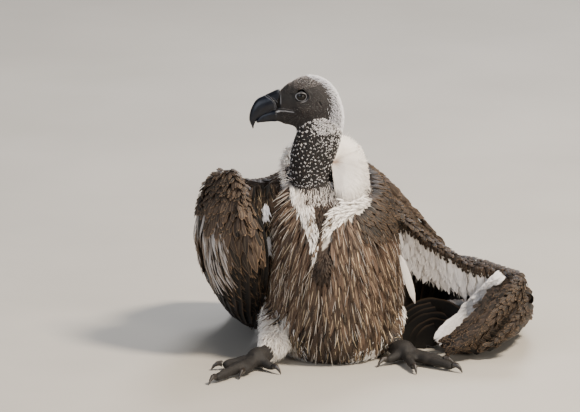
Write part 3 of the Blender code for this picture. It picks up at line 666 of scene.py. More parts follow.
# Folds of the face, in the head's own millimetres: forward and up
faceFolds = {
    "gape": [(47, -29.5), (38.4, -26.2), (33, -24.9), (24, -24.4), (15, -25.0), (9.5, -26.4), (7, -29.0)],
    "wrinkles": [
        [(9, -25), (15, -30), (23, -34.6), (28, -40)],
        [(6, -27), (11, -33), (19, -39), (25, -45)],
        [(3, -29), (7, -36), (14, -43), (20, -49)],
        [(12, -25), (20, -28.6), (28, -32), (34, -36)],
        [(14, -19.5), (8, -20.5), (2, -24), (0, -29)],
    ],
    "lidProfile": (
        (0, 0.80, 0.93, 1.02, 1.12, 1.30, 1.45, 1.62, 1.85, 2.2),
        (-4.0, -2.2, 0.0, 0.65, 0.75, 0.55, 0.10, 0.30, 0.15, 0.0)
    ),
}
forehead = ((12, 17, 21, 25, 28, 31, 34, 37, 42), (20.6, 17.9, 14.8, 11.6, 8.9, 6.5, 4.7, 2.4, 0.4))
places = fitProfile(pointsOf(skin.data), forehead, 18.0, 42.0)
setPoints(skin.data, places)
forward, up, side, sign = headParts(places)
sunk = (
    0.7 * smoothStep(forward, 26, 32) + 3.6 * smoothStep(forward, 32.2, 35.8) * (up > -24.5)
    + 2.5 * smoothStep(forward, 39.0, 43.0) * (up <= -24.5)
)
places -= normalsOf(skin.data) * (sunk * (places[:, 2] > 0.35) * 0.001)[:, None]
forward, up, side, sign = headParts(places)
flat = np.stack([forward, up], 1)
isHead = (places[:, 2] > headFrom) & (side > 2)
almond = almondOf(forward, up)
# near the eye the skin follows the ball, a lid's thickness outside it; further out it runs into the face
ballSide = skinLook["eyeSide"] * 1000 + np.sqrt(
    np.maximum((skinLook["eyeBall"] * 1000) ** 2 - np.minimum(np.hypot(forward, up + eyeDrop), 8.6) ** 2, 0)
)
onBall = smoothStep(1.85 - almond, 0, 0.55)
nearEye = isHead & (side > 8) & (almond < 2.2)
push = np.where(nearEye, (ballSide - side) * onBall + np.interp(almond, *faceFolds["lidProfile"]), 0)
brow, _ = toLine(flat, [(14, 3.4), (6, 7.0), (-5, 7.4), (-13, 4.4)])
push += isHead * (1.5 * ridge(brow, 3.0) * (almond > 1.25))
lore, _ = toLine(flat, [(26, 0.0), (14, 0.5)])
push -= isHead * 1.4 * ridge(lore, 5.0) * smoothStep(almond, 1.6, 2.2)
cheek, _ = toLine(flat, [(2, -20), (-14, -24)])
push += isHead * 1.6 * ridge(cheek, 9.0)
gape, gapeAlong = toLine(flat, faceFolds["gape"])
push -= isHead * 1.0 * ridge(gape, 0.8) * (1 - 0.6 * gapeAlong)
push += isHead * 0.22 * ridge(gape - 1.8, 0.9) * (1 - 0.7 * gapeAlong)
for line in faceFolds["wrinkles"]:
    fold, along = toLine(flat, line)
    ends = smoothStep(along, 0, 0.15) * smoothStep(1 - along, 0, 0.3)
    push -= isHead * 0.7 * ends * ridge(fold, 0.7)
    push += isHead * 0.35 * ends * ridge(fold - 1.7, 0.8)
ear, _ = toLine(flat, [(-27.5, -10.5), (-29.5, -13.5)])
push -= isHead * 1.6 * ridge(ear, 1.4)
push += isHead * 0.5 * ridge(ear - 2.8, 1.0)
crown = smoothStep(forward, -34, -10) * smoothStep(-forward, -22, -12) * smoothStep(up, 10, 20)
places[:, 1] += sign * push / 1000
places[:, 2] += 0.0013 * crown * (places[:, 2] > headFrom)

# Plates across the tops of the toes, and swellings along them
feet = {
    "left": {"ball": (0.108, -0.026), "tips": [(0.126, -0.108), (0.197, -0.098), (0.186, -0.050), (0.066, -0.060)]},
    "right": {
        "ball": (-0.120, -0.068), "tips": [(-0.148, -0.140), (-0.195, -0.176), (-0.192, -0.080), (-0.084, -0.108)]
    },
}
normals = normalsOf(skin.data)
own = places - shift
scute = np.zeros(len(places))
for foot in feet.values():
    for tip in foot["tips"]:
        start, end = np.array(foot["ball"]), np.array(tip)
        span = np.linalg.norm(end - start)
        gap, along = toLine(own[:, :2], [start, end])
        reach = along * span * 1000
        onToe = smoothStep(0.0105 - gap, 0, 0.002) * smoothStep(reach, 12, 18) * (own[:, 2] < 0.030)
        plate = (reach / 4.2) % 1.0
        rise = np.clip(plate * 5, 0, 1) * (1 - 0.55 * plate)
        top = smoothStep(normals[:, 2], 0.15, 0.6)
        knuckle = 0.5 + 0.5 * np.cos(reach / 22.0 * 2 * np.pi)
        scute = np.maximum(scute, onToe * (top * (0.9 * rise - 0.25) + 0.9 * knuckle * (1 - 0.3 * top)))
places += normals * (scute * 0.001)[:, None]
places[:, 2] = np.maximum(places[:, 2], clearance["skin"])
setPoints(skin.data, places)
print("skin", len(skin.data.polygons), "faces")

# Unwrap of the skin's own shape; it also says where each tuft has its small patch in its own piece's bake
editAll(skin)
bpy.ops.uv.smart_project(angle_limit=math.radians(66), island_margin=0.001)
leaveEdit()
skin.data.uv_layers[0].name = "OFBake"
skin.data.shade_smooth()
skinSurface = surfaceOf(skin)
uvOfLoops = np.zeros(len(skin.data.loops) * 2)
skin.data.uv_layers["OFBake"].data.foreach_get("uv", uvOfLoops)
uvOfLoops = uvOfLoops.reshape(-1, 2)
triangleLoops = np.zeros(len(skin.data.loop_triangles) * 3, int)
skin.data.loop_triangles.foreach_get("loops", triangleLoops)
triangleLoops = triangleLoops.reshape(-1, 3)


def patchAt(places):
    # Where a tuft rooted here lies on the skin's unwrap
    _, _, numbers, weights = nearestOn(skinSurface, places)
    return (uvOfLoops[triangleLoops[numbers]] * weights[:, :, None]).sum(1)


skinMarks = marksAt(pointsOf(skin.data), normalsOf(skin.data), ownerOf(pointsOf(skin.data)))

# Bill, with its cere
billLook = {
    "voxel": 0.0006,
    "hornEdge": [(56, -4.0), (50, -6.5), (45, -10.0), (41.3, -15.0), (40.3, -20.0), (41.5, -25.0)],
    "nostril": [(47.0, -6.2), (42.6, -9.5), (39.4, -13.5), (38.0, -18.0), (38.6, -22.0)],
    # the pale grey is a painted highlight for the raised rims beside the horn's edge and round the nostril
    "hornColours": ("#020307", "#060912", "#101724"), "worn": "#6f727a",
}
upperBill = joinedCopy("upperBill", ["bill_upper", "cere"], billLook["voxel"], 60)
lowerBill = joinedCopy("lowerBill", ["bill_lower"], billLook["voxel"], 40)
places = fitProfile(pointsOf(upperBill.data), culmen, 27.0, 81.0)
setPoints(upperBill.data, places)
normals = normalsOf(upperBill.data)
forward, up, side, sign = headParts(places)
flat = np.stack([forward, up], 1)
push = np.zeros(len(places))
edgeGap, _ = toLine(flat, billLook["hornEdge"])
slitGap, slitAlong = toLine(flat, billLook["nostril"])
edgeForward = np.interp(-up, [4.0, 6.5, 10.0, 15.0, 20.0, 25.0], [56, 50, 45, 41.3, 40.3, 41.5])
behindEdge = smoothStep(edgeForward - forward, -0.6, 1.2)
onSide = smoothStep(side, 1.5, 4.0)
push += 0.45 * behindEdge  # the cere swells over the root of the horn
push -= 0.55 * ridge(edgeGap, 0.55) * onSide
push += 0.35 * ridge(edgeGap - 1.1, 0.6) * onSide
slitEnds = smoothStep(slitAlong, 0, 0.12) * smoothStep(1 - slitAlong, 0, 0.12)
push -= 2.4 * np.exp(-((slitGap / 0.75) ** 4)) * onSide * slitEnds
push += 0.55 * ridge(slitGap - 1.5, 0.55) * onSide * slitEnds
push += 0.8 * ridge(forward - 37.0, 3.2) * smoothStep(up, -4, 2)  # knob over the cere
cuttingEdge, _ = toLine(flat, [(44, -29), (50, -32), (58, -40), (66, -44.5), (72, -49)])
push -= 0.5 * ridge(cuttingEdge - 3.4, 0.7) * smoothStep(forward, 44, 50)
places += normals * (push * 0.001)[:, None]
# the hook draws out to a blunt point
hook = smoothStep(-up, 44, 59)
places[:, 0] += (headAt[0] - 0.0752 - places[:, 0]) * 0.62 * hook
places[:, 1] += (headAt[1] - places[:, 1]) * 0.45 * hook
places[:, 2] -= 0.0022 * hook**2
setPoints(upperBill.data, places)
giveAttribute(upperBill.data, "cere", behindEdge)
# the raised rims beside the horn's edge and round the nostril, which carry a painted highlight
giveAttribute(
    upperBill.data, "seam", np.maximum(ridge(edgeGap - 1.1, 0.32), slitEnds * ridge(slitGap - 1.4, 0.3)) * onSide
)
# where the nostril's slit lies: painted shade inside it
giveAttribute(upperBill.data, "slit", np.exp(-((slitGap / 0.9) ** 4)) * slitEnds * onSide)
# the root of the lower bill narrows and runs in under the skin of the jaw
places = pointsOf(lowerBill.data)
forward, up, side, sign = headParts(places)
root = smoothStep(41 - forward, 0, 9)
places[:, 1] += (headAt[1] - places[:, 1]) * 0.45 * root
places[:, 2] += 0.0048 * smoothStep(up, -45.5, -40)
places[:, 2] += (headAt[2] - 0.0345 - places[:, 2]) * 0.40 * root
setPoints(lowerBill.data, places)
for name, value in (("cere", smoothStep(38 - forward, -1, 2)), ("seam", 0 * forward), ("slit", 0 * forward)):
    giveAttribute(lowerBill.data, name, value)


def makeHorn():
    # Keratin of the bill: blue-black, polished by use, with faint growth lines about 1.5 mm apart
    made, tree, shader = newMaterial("keratinBill")
    spot = addNode(tree, "TexCoord").outputs["Object"]
    grain = addNode(tree, "TexNoise", {"Vector": spot, "Scale": 160.0, "Detail": 6.0, "Roughness": 0.6})
    growth = addNode(
        tree, "TexWave", {"Vector": spot, "Scale": 240.0, "Distortion": 6.0, "Detail": 2.0}, wave_type="BANDS",
        bands_direction="DIAGONAL"
    )
    mixed = addNode(tree, "Math", {0: growth.outputs["Fac"], 1: 0.12, 2: grain}, operation="MULTIPLY_ADD")
    horn = addNode(tree, "ValToRGB", {"Fac": mixed}, stops=list(zip((0.0, 0.45, 0.9), billLook["hornColours"])))
    cere = addNode(tree, "ValToRGB", {"Fac": grain}, stops=[(0.3, "#030408"), (0.7, "#0a0c16")])
    marks = {key: addNode(tree, "Attribute", attribute_name=key).outputs["Fac"] for key in ("cere", "seam", "slit")}
    base = addNode(tree, "Mix", {"Factor": marks["cere"], "A": horn, "B": cere}, data_type="RGBA")
    # pale grey along those raised rims: a painted highlight
    edge = addNode(tree, "Math", {0: marks["seam"], 1: 0.55}, operation="MULTIPLY")
    lined = addNode(tree, "Mix", {"Factor": edge, "A": base, "B": billLook["worn"]}, data_type="RGBA")
    # near-black inside the nostril's slit: painted shade
    dark = addNode(tree, "Mix", {"Factor": marks["slit"], "A": lined, "B": "#040404"}, data_type="RGBA")
    worn = addNode(tree, "MapRange", {"Value": grain, "To Min": 0.24, "To Max": 0.46})
    bump = addNode(tree, "Bump", {"Height": mixed, "Strength": 0.12, "Distance": 0.0002})
    setShader(shader, Base_Color=dark, Roughness=worn, Normal=bump)
    setShader(shader, IOR=1.55, Specular_IOR_Level=0.28, Coat_Weight=0.06, Coat_Roughness=0.16)
    return made


hornMaterial = makeHorn()
for piece, members in ((upperBill, ("bill_upper", "cere")), (lowerBill, ("bill_lower",))):
    piece.data.materials.append(hornMaterial)
    piece.data.shade_smooth()
    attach(piece, "root")
    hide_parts(*members)
print("bill", len(upperBill.data.polygons), len(lowerBill.data.polygons))

# Eyes
eyeLook = {"irisColours": ("#060403", "#0f0a07"), "rimColour": "#030303"}


def makeEyeMaterial():
    # Wet eyeball: black pupil, very dark brown iris with fine flecks, under a clear cornea
    made, tree, shader = newMaterial("wetCornea")
    away = addNode(tree, "Attribute", attribute_name="fromAxis").outputs["Fac"]
    spot = addNode(tree, "TexCoord").outputs["Object"]
    flecks = addNode(tree, "TexNoise", {"Vector": spot, "Scale": 900.0, "Detail": 4.0})
    iris = addNode(
        tree, "Mix", {"Factor": flecks, "A": eyeLook["irisColours"][0], "B": eyeLook["irisColours"][1]},
        data_type="RGBA"
    )
    mask = addNode(
        tree, "ValToRGB", {"Fac": away}, stops=[(0.0, 0.0), (0.39, 0.0), (0.43, 1.0), (0.68, 1.0), (0.76, 0.0)]
    )
    whole = addNode(tree, "Mix", {"Factor": mask, "A": eyeLook["rimColour"], "B": iris}, data_type="RGBA")
    setShader(shader, Base_Color=whole, Roughness=0.07, IOR=1.376)
    return made


eyeMaterial = makeEyeMaterial()
for name, sign in (("left", 1), ("right", -1)):
    centre = headAt + (0, sign * skinLook["eyeSide"], 0.0002 - eyeDrop / 1000)
    deselectAll()
    bpy.ops.mesh.primitive_uv_sphere_add(
        segments=48, ring_count=32, radius=skinLook["eyeBall"], location=tuple(centre),
        rotation=(math.radians(-90 * sign), 0, 0)
    )
    eye = bpy.context.object
    eye.name = eye.data.name = "eye_ball_" + name
    bpy.ops.object.transform_apply(location=True, rotation=True, scale=True)
    own = pointsOf(eye.data) - centre
    fromAxis = np.hypot(own[:, 0], own[:, 2]) / skinLook["eyeBall"]
    outer = own[:, 1] * sign > 0
    # the cornea is a shallower dome that stands a little proud of the ball
    own[:, 1] += sign * np.where(outer, 0.00035 * ridge(fromAxis, 0.5), 0)
    setPoints(eye.data, own + centre)
    giveAttribute(eye.data, "fromAxis", np.where(outer, fromAxis, 1.0))
    eye.data.materials.append(eyeMaterial)
    eye.data.shade_smooth()
    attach(eye, "root")
    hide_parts("eye_" + name)
print("eyes made")

# Claws: the CAD copies rounded
# Claw keratin: dull dark horn, mottled paler where it is worn, with a fine uneven surface
clawMaterial, tree, shader = newMaterial("keratinClaw")
spot = addNode(tree, "TexCoord").outputs["Object"]
grain = addNode(tree, "TexNoise", {"Vector": spot, "Scale": 400.0, "Detail": 5.0})
tint = addNode(tree, "ValToRGB", {"Fac": grain}, stops=[(0.3, "#15110f"), (0.62, "#2b2521"), (0.8, "#5a4f45")])
bump = addNode(tree, "Bump", {"Height": grain, "Strength": 0.4, "Distance": 0.0003})
setShader(shader, Base_Color=tint, Normal=bump, Roughness=0.38, IOR=1.55)
for member in [n for n in nodes if n.startswith("claw")]:
    claw = joinedCopy(member.replace("claw", "talon"), [member], 0.0007, 4)
    places = pointsOf(claw.data)
    places[:, 2] = np.maximum(places[:, 2], clearance["claws"])
    setPoints(claw.data, places)
    claw.data.materials.append(clawMaterial)
    claw.data.shade_smooth()
    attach(claw, "root")
    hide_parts(member)
print("claws made")

# Flesh material
skinColours = {
    "dark": "#120f0e", "face": "#181415", "foot": "#181513", "footLight": "#38322d", "pale": "#cfd0d6",
    "down": "#e2dcd4", "brown": "#4c3b30"
}


def makeSkinMaterial():
    # Bare and thinly feathered skin: dark grey-brown leather, horny plates on the feet
    made, tree, shader = newMaterial("bareSkin")
    spot = addNode(tree, "TexCoord").outputs["Object"]
    marks = {
        key: addNode(tree, "Attribute", attribute_name=key).outputs["Fac"]
        for key in ("pale", "tone", "foot", "lip", "face", "black")
    }
    dark, down = skinColours["dark"], skinColours["down"]
    blotch = addNode(tree, "TexNoise", {"Vector": spot, "Scale": 90.0, "Detail": 6.0, "Roughness": 0.65})
    fine = addNode(tree, "TexNoise", {"Vector": spot, "Scale": 900.0, "Detail": 4.0})
    # pores and scales: cells of about 1.4 mm
    cells = addNode(tree, "TexVoronoi", {"Vector": spot, "Scale": 700.0}, feature="DISTANCE_TO_EDGE")
    face = addNode(tree, "Mix", {"Factor": blotch, "A": dark, "B": skinColours["face"]}, data_type="RGBA")
    under = addNode(tree, "Mix", {"Factor": marks["tone"], "A": dark, "B": skinColours["brown"]}, data_type="RGBA")
    bare = addNode(tree, "Mix", {"Factor": marks["face"], "A": under, "B": face}, data_type="RGBA")
    footTint = addNode(
        tree, "ValToRGB", {"Fac": blotch},
        stops=[(0.25, "#1c1816"), (0.5, skinColours["foot"]), (0.85, skinColours["footLight"])]
    )
    # on the feet the cells' edges are darkened: painted shade in the creases between the scales
    edges = addNode(tree, "ValToRGB", {"Fac": cells}, stops=[(0.0, 0.35), (0.12, 1.0)])
    footDark = addNode(
        tree, "Mix", {"Factor": 1.0, "A": footTint, "B": edges}, data_type="RGBA", blend_type="MULTIPLY"
    )
    withFoot = addNode(tree, "Mix", {"Factor": marks["foot"], "A": bare, "B": footDark}, data_type="RGBA")
    white = addNode(tree, "Mix", {"Factor": marks["pale"], "A": withFoot, "B": down}, data_type="RGBA")
    blackened = addNode(tree, "Mix", {"Factor": marks["black"], "A": white, "B": "#070606"}, data_type="RGBA")
    lips = addNode(tree, "Mix", {"Factor": marks["lip"], "A": blackened, "B": skinColours["pale"]}, data_type="RGBA")
    height = addNode(tree, "Math", {0: fine, 1: 0.6, 2: edges}, operation="MULTIPLY_ADD")
    bump = addNode(tree, "Bump", {"Height": height, "Strength": 0.5, "Distance": 0.0004})
    rough = addNode(tree, "MapRange", {"Value": blotch, "To Min": 0.55, "To Max": 0.85})
    setShader(shader, Base_Color=lips, Normal=bump, Roughness=rough, IOR=1.45)
    return made


places = pointsOf(skin.data)
forward, up, side, sign = headParts(places)
flat = np.stack([forward, up], 1)
near = (places[:, 2] > headFrom) & (side > 8)
almond = almondOf(forward, up)
lowLid = 0.40 + 0.75 * smoothStep(-up, -3, 3)
ring = ridge(almond - 1.27, 0.060) * lowLid
second = 0.35 * ridge(almond - 1.62, 0.05) * smoothStep(-up, 0, 5) * smoothStep(-forward, -3, 3)
lip = near * np.maximum(ring, second)
paleLines = [  # along the face: the line, how pale it is and its half width in millimetres
    ([(44, -30.0), (36.6, -28.2), (32, -26.8), (25, -26.2), (19, -26.9), (12, -27.2)], 0.55, 0.6),
    ([(35, -23.6), (27, -22.6), (20, -23.2), (13, -23.8)], 0.12, 0.5),
    ([(33.2, 1.5), (32.4, -7), (32.2, -15.3)], 0.38, 0.6),
    ([(38.0, -28.8), (34.5, -27.4)], 0.9, 1.1),
]
for line, strength, width in paleLines:
    lip = np.maximum(lip, isHead * strength * ridge(toLine(flat, line)[0], width))
# a dark line just under the brow ridge, over the eye: painted shade of the brow
browLine, _ = toLine(flat, [(22, -3.5), (11, 2.6), (0, 5.6), (-10, 3.2), (-14, 0.6)])
loreLine, _ = toLine(flat, [(31, -4.0), (14, -2.5)])
black = isHead * np.maximum(0.85 * ridge(browLine, 1.8) * (almond > 1.2), 0.85 * ridge(loreLine, 6.0))
black = np.maximum(black, near * (1 - smoothStep(almond, 1.34, 1.60)))
black = np.maximum(black, near * 0.72 * (1 - smoothStep(almond, 1.6, 3.8)))
onNeck = np.char.startswith(skinMarks["names"], "neck").astype(float)
black = np.maximum(black, 0.75 * spreadOut(onNeck, edgesOf(skin.data), 6))
faceMask = smoothStep(places[:, 2], 0.25, 0.29) * (np.abs(places[:, 0] + 0.08) < 0.09)
names = skinMarks["names"]
footMask = spreadOut(
    (np.char.startswith(names, "toe") | np.char.startswith(names, "tarsus")).astype(float), edgesOf(skin.data), 3
)
for name, values in (
    ("pale", skinMarks["pale"] * 0.8 * (1 - footMask)), ("tone", skinMarks["tone"]), ("foot", footMask), ("lip", lip),
    ("face", faceMask), ("black", black)
):
    giveAttribute(skin.data, name, values)
skin.data.materials.append(makeSkinMaterial())
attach(skin, "root")
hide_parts(*fleshNodes)
skin.data.calc_loop_triangles()
print("skin triangles", len(skin.data.loop_triangles))

# Feather shapes, each modelled once
outlines = {
    "contour": ((0, 0.10, 0.25, 0.45, 0.65, 0.82, 0.93, 1), (0.22, 0.62, 0.88, 1.0, 0.96, 0.78, 0.48, 0.10)),
    "lance": ((0, 0.10, 0.25, 0.45, 0.65, 0.82, 0.93, 1), (0.20, 0.60, 0.88, 1.0, 0.84, 0.52, 0.24, 0.03)),
    "covert": ((0, 0.08, 0.2, 0.45, 0.7, 0.86, 0.95, 1), (0.30, 0.72, 0.92, 1.0, 0.98, 0.84, 0.52, 0.12)),
    "remex": ((0, 0.05, 0.15, 0.4, 0.7, 0.88, 0.96, 1), (0.16, 0.55, 0.85, 1.0, 0.98, 0.86, 0.56, 0.16)),
    "rectrix": ((0, 0.06, 0.2, 0.5, 0.8, 0.93, 0.98, 1), (0.18, 0.50, 0.72, 0.90, 1.0, 0.92, 0.66, 0.28)),
}


def modelVane(kind, columns, rows, crown, keel, ragged=0.0):
    # A closed, thin vane: y runs from the quill to the tip, the shaft lies on x = 0
    deselectAll()
    bpy.ops.mesh.primitive_grid_add(x_subdivisions=columns, y_subdivisions=rows, size=1)
    vane = bpy.context.object
    mesh = vane.data
    while mesh.uv_layers:
        mesh.uv_layers.remove(mesh.uv_layers[0])
    places = pointsOf(mesh)
    across, along = places[:, 0] * 2, places[:, 1] + 0.5
    half = np.interp(along, *outlines[kind])
    notch = ragged * np.sin(along * 37 + across * 5) * smoothStep(along, 0.3, 0.6) * (np.abs(across) > 0.99)
    shaped = np.stack([across * 0.5 * (half - notch), along, crown * (1 - np.abs(across) ** 1.6)], 1)
    setPoints(mesh, shaped)
    giveAttribute(mesh, "across", across)
    giveAttribute(mesh, "along", along)
    editAll(vane)
    bpy.ops.mesh.duplicate()
    bpy.ops.mesh.flip_normals()
    leaveEdit()
    places = pointsOf(mesh)
    sides = np.zeros(len(places))
    mesh.attributes["across"].data.foreach_get("value", sides)
    under = np.arange(len(places)) >= len(shaped)
    places[under, 2] -= keel * (np.abs(sides[under]) < 0.99)
    setPoints(mesh, places)
    editAll(vane)
    bpy.ops.mesh.remove_doubles(threshold=0.0001)
    bpy.ops.mesh.quads_convert_to_tris()
    leaveEdit()
    return takeShape(vane)


def modelBarb(cuts, thick=1.0, thin=0.55):
    # A closed three-sided lock that draws out to a point
    deselectAll()
    bpy.ops.mesh.primitive_circle_add(vertices=3, radius=0.5 * thick, fill_type="NGON")
    lock = bpy.context.object
    editAll(lock)
    for _ in range(cuts):
        bpy.ops.mesh.extrude_region_move(TRANSFORM_OT_translate={"value": (0, 0, 1 / cuts)})
        bpy.ops.transform.resize(value=(thin ** (2 / cuts), thin ** (2 / cuts), 1))
    bpy.ops.mesh.merge(type="CENTER")
    bpy.ops.mesh.select_all(action="SELECT")
    bpy.ops.mesh.quads_convert_to_tris()
    bpy.ops.mesh.normals_make_consistent(inside=False)
    leaveEdit()
    mesh = lock.data
    places = pointsOf(mesh)
    giveAttribute(mesh, "along", places[:, 2])
    giveAttribute(mesh, "across", places[:, 0] * 2)
    setPoints(mesh, np.stack([places[:, 0], places[:, 2], places[:, 1]], 1))
    mesh.flip_normals()
    return takeShape(lock)


def takeShape(thing):
    mesh = thing.data
    mesh.calc_loop_triangles()
    faces = np.zeros(len(mesh.loop_triangles) * 3, int)
    mesh.loop_triangles.foreach_get("vertices", faces)
    shape = {"points": pointsOf(mesh), "faces": faces.reshape(-1, 3)}
    for key in ("across", "along"):
        shape[key] = np.zeros(len(mesh.vertices))
        mesh.attributes[key].data.foreach_get("value", shape[key])
    bpy.data.objects.remove(thing)
    return shape


shapes = {
    "contour": modelVane("contour", 2, 6, 0.10, 0.05),
    "lance": modelVane("lance", 2, 6, 0.10, 0.05),
    "covert": modelVane("covert", 4, 6, 0.10, 0.04),
    "remex": modelVane("remex", 8, 28, 0.07, 0.05, 0.05),
    "rectrix": modelVane("rectrix", 8, 24, 0.05, 0.05, 0.07),
    "down": modelBarb(3),
    "plume": modelBarb(5),
    "bristle": modelBarb(2),
}
print("feather shapes", {key: len(shape["faces"]) for key, shape in shapes.items()})

# Laying feathers


def sampleForm(number, seed, surface=form, chosen=None):
    # Places spread evenly over a surface
    draw = np.random.default_rng(seed)
    corners = surface["places"][surface["triangles"]]
    area = np.linalg.norm(np.cross(corners[:, 1] - corners[:, 0], corners[:, 2] - corners[:, 0]), axis=1)
    if chosen is not None:
        area = area * chosen
    drawn = draw.choice(len(area), number, p=area / area.sum())
    u, v = draw.random(number), draw.random(number)
    flip = u + v > 1
    u, v = np.where(flip, 1 - u, u), np.where(flip, 1 - v, v)
    weights = np.stack([1 - u - v, u, v], 1)[:, :, None]
    return (corners[drawn] * weights).sum(1), unit((surface["normals"][surface["triangles"][drawn]] * weights).sum(1))


def thinned(places, spacing, chosen):
    # Keeps chosen places that are at least the spacing apart
    cells, kept = {}, []
    spacing = np.broadcast_to(spacing, len(places))
    size = float(np.max(spacing[chosen])) if np.any(chosen) else 0.01
    keys = np.floor(places / size).astype(int)
    for k in np.nonzero(chosen)[0]:
        x, y, z = keys[k]
        place, limit, clear = places[k], spacing[k] ** 2, True
        for cell in ((x + i, y + j, z + m) for i in (-1, 0, 1) for j in (-1, 0, 1) for m in (-1, 0, 1)):
            for other in cells.get(cell, ()):
                gap = place - other
                if gap @ gap < limit:
                    clear = False
                    break
            if not clear:
                break
        if clear:
            cells.setdefault((x, y, z), []).append(place)
            kept.append(k)
    return np.array(kept, int)


def lieAlong(group, roots, normals, lengths, steps, swing=None):
    # Paths that hug the form from each root, and the normals along them
    paths, ups = [roots], [normals]
    place, up = roots, normals
    loose = np.zeros(len(roots))
    for _ in range(steps):
        way = flowOf(group, place, up)
        if swing is not None:
            way = unit(way + np.cross(up, way) * swing[:, None])
        ahead = place + way * (lengths / steps)[:, None]
        hit, turned, _, _ = nearestOn(form, ahead)
        free = ((turned * up).sum(1) < 0.60) | (np.linalg.norm(hit - ahead, axis=1) > 0.6 * lengths / steps)
        place = np.where(free[:, None], ahead, hit)
        up = np.where(free[:, None], up, turned)
        loose += free / steps
        paths.append(place)
        ups.append(up)
    return np.stack(paths, 1), np.stack(ups, 1), loose


def springUp(roots, ways, normals, lengths, steps, rise, settle, droop=0.0):
    # Free paths that leave the skin at one angle and bend to another
    place, paths, ups = roots, [roots], [normals]
    for k in range(steps):
        lift = (rise + (settle - rise) * (k + 0.5) / steps).reshape(-1, 1)
        way = unit(ways * np.cos(lift) + normals * np.sin(lift) + (0, 0, -droop * k / steps))
        place = place + way * (lengths / steps)[:, None]
        paths.append(place)
        ups.append(unit(normals - way * (normals * way).sum(1, keepdims=True)))
    return np.stack(paths, 1), np.stack(ups, 1)


def stampFeathers(name, shape, paths, ups, widths, values, patches, tilt=0.0, patchSize=(0.003, 0.003)):
    # One joined mesh: the shape bent along every path, with its markings and its patch of the unwrap
    count, steps = paths.shape[:2]
    along = np.clip(shape["along"], 0, 1) * (steps - 1)
    k = np.minimum(along.astype(int), steps - 2)
    f = (along - k)[None, :, None]
    ahead = unit(np.gradient(paths, axis=1))
    middle = paths[:, k] * (1 - f) + paths[:, k + 1] * f
    forward = unit(ahead[:, k] * (1 - f) + ahead[:, k + 1] * f)
    up = ups[:, k] * (1 - f) + ups[:, k + 1] * f
    up = unit(up - forward * (up * forward).sum(2, keepdims=True))
    side = np.cross(forward, up)
    lean = np.broadcast_to(np.asarray(tilt, float), count)[:, None, None]
    side, up = side * np.cos(lean) + up * np.sin(lean), up * np.cos(lean) - side * np.sin(lean)
    wide = np.broadcast_to(widths, count)[:, None, None]
    points = middle + side * shape["points"][None, :, :1] * wide + up * shape["points"][None, :, 2:] * wide
    points[..., 2] = np.maximum(points[..., 2], clearance["feathers"])
    size = len(shape["points"])
    faces = (shape["faces"][None] + (np.arange(count) * size)[:, None, None]).reshape(-1, 3)
    mesh = bpy.data.meshes.new(name)
    mesh.vertices.add(count * size)
    mesh.loops.add(len(faces) * 3)
    mesh.polygons.add(len(faces))
    mesh.vertices.foreach_set("co", points.reshape(-1))
    mesh.polygons.foreach_set("loop_start", np.arange(len(faces)) * 3)
    mesh.loops.foreach_set("vertex_index", faces.reshape(-1))
    mesh.update(calc_edges=True)
    own = np.stack([np.tile(shape["across"] * 0.5 + 0.5, count), np.tile(shape["along"], count)], 1)
    patch = np.repeat(patches, size, 0) + (own - 0.5) * patchSize
    for layer, spots in (("OFBake", patch), ("vane", own)):
        made = mesh.uv_layers.new(name=layer)
        made.data.foreach_set("uv", np.ascontiguousarray(spots[faces.reshape(-1)], dtype=np.float32).reshape(-1))
    for key, value in values.items():
        giveAttribute(mesh, key, np.repeat(np.broadcast_to(value, count), size))
    mesh.shade_smooth()
    mesh.set_sharp_from_angle(angle=math.radians(50))
    piece = bpy.data.objects.new(name, mesh)
    bpy.context.scene.collection.objects.link(piece)
    return piece


# Feather materials
vaneColours = {
    "dark": "#0b0908", "brown": "#645143", "cream": "#d2bd9c", "tan": "#92785e", "warmWhite": "#fbf5ec",
    "coolWhite": "#e6e8f2"
}
downColours = {
    "dark": "#0b0908", "brown": "#69503f", "warmWhite": "#fdf8f0", "coolWhite": "#e9ebf5", "stain": "#b08a66"
}


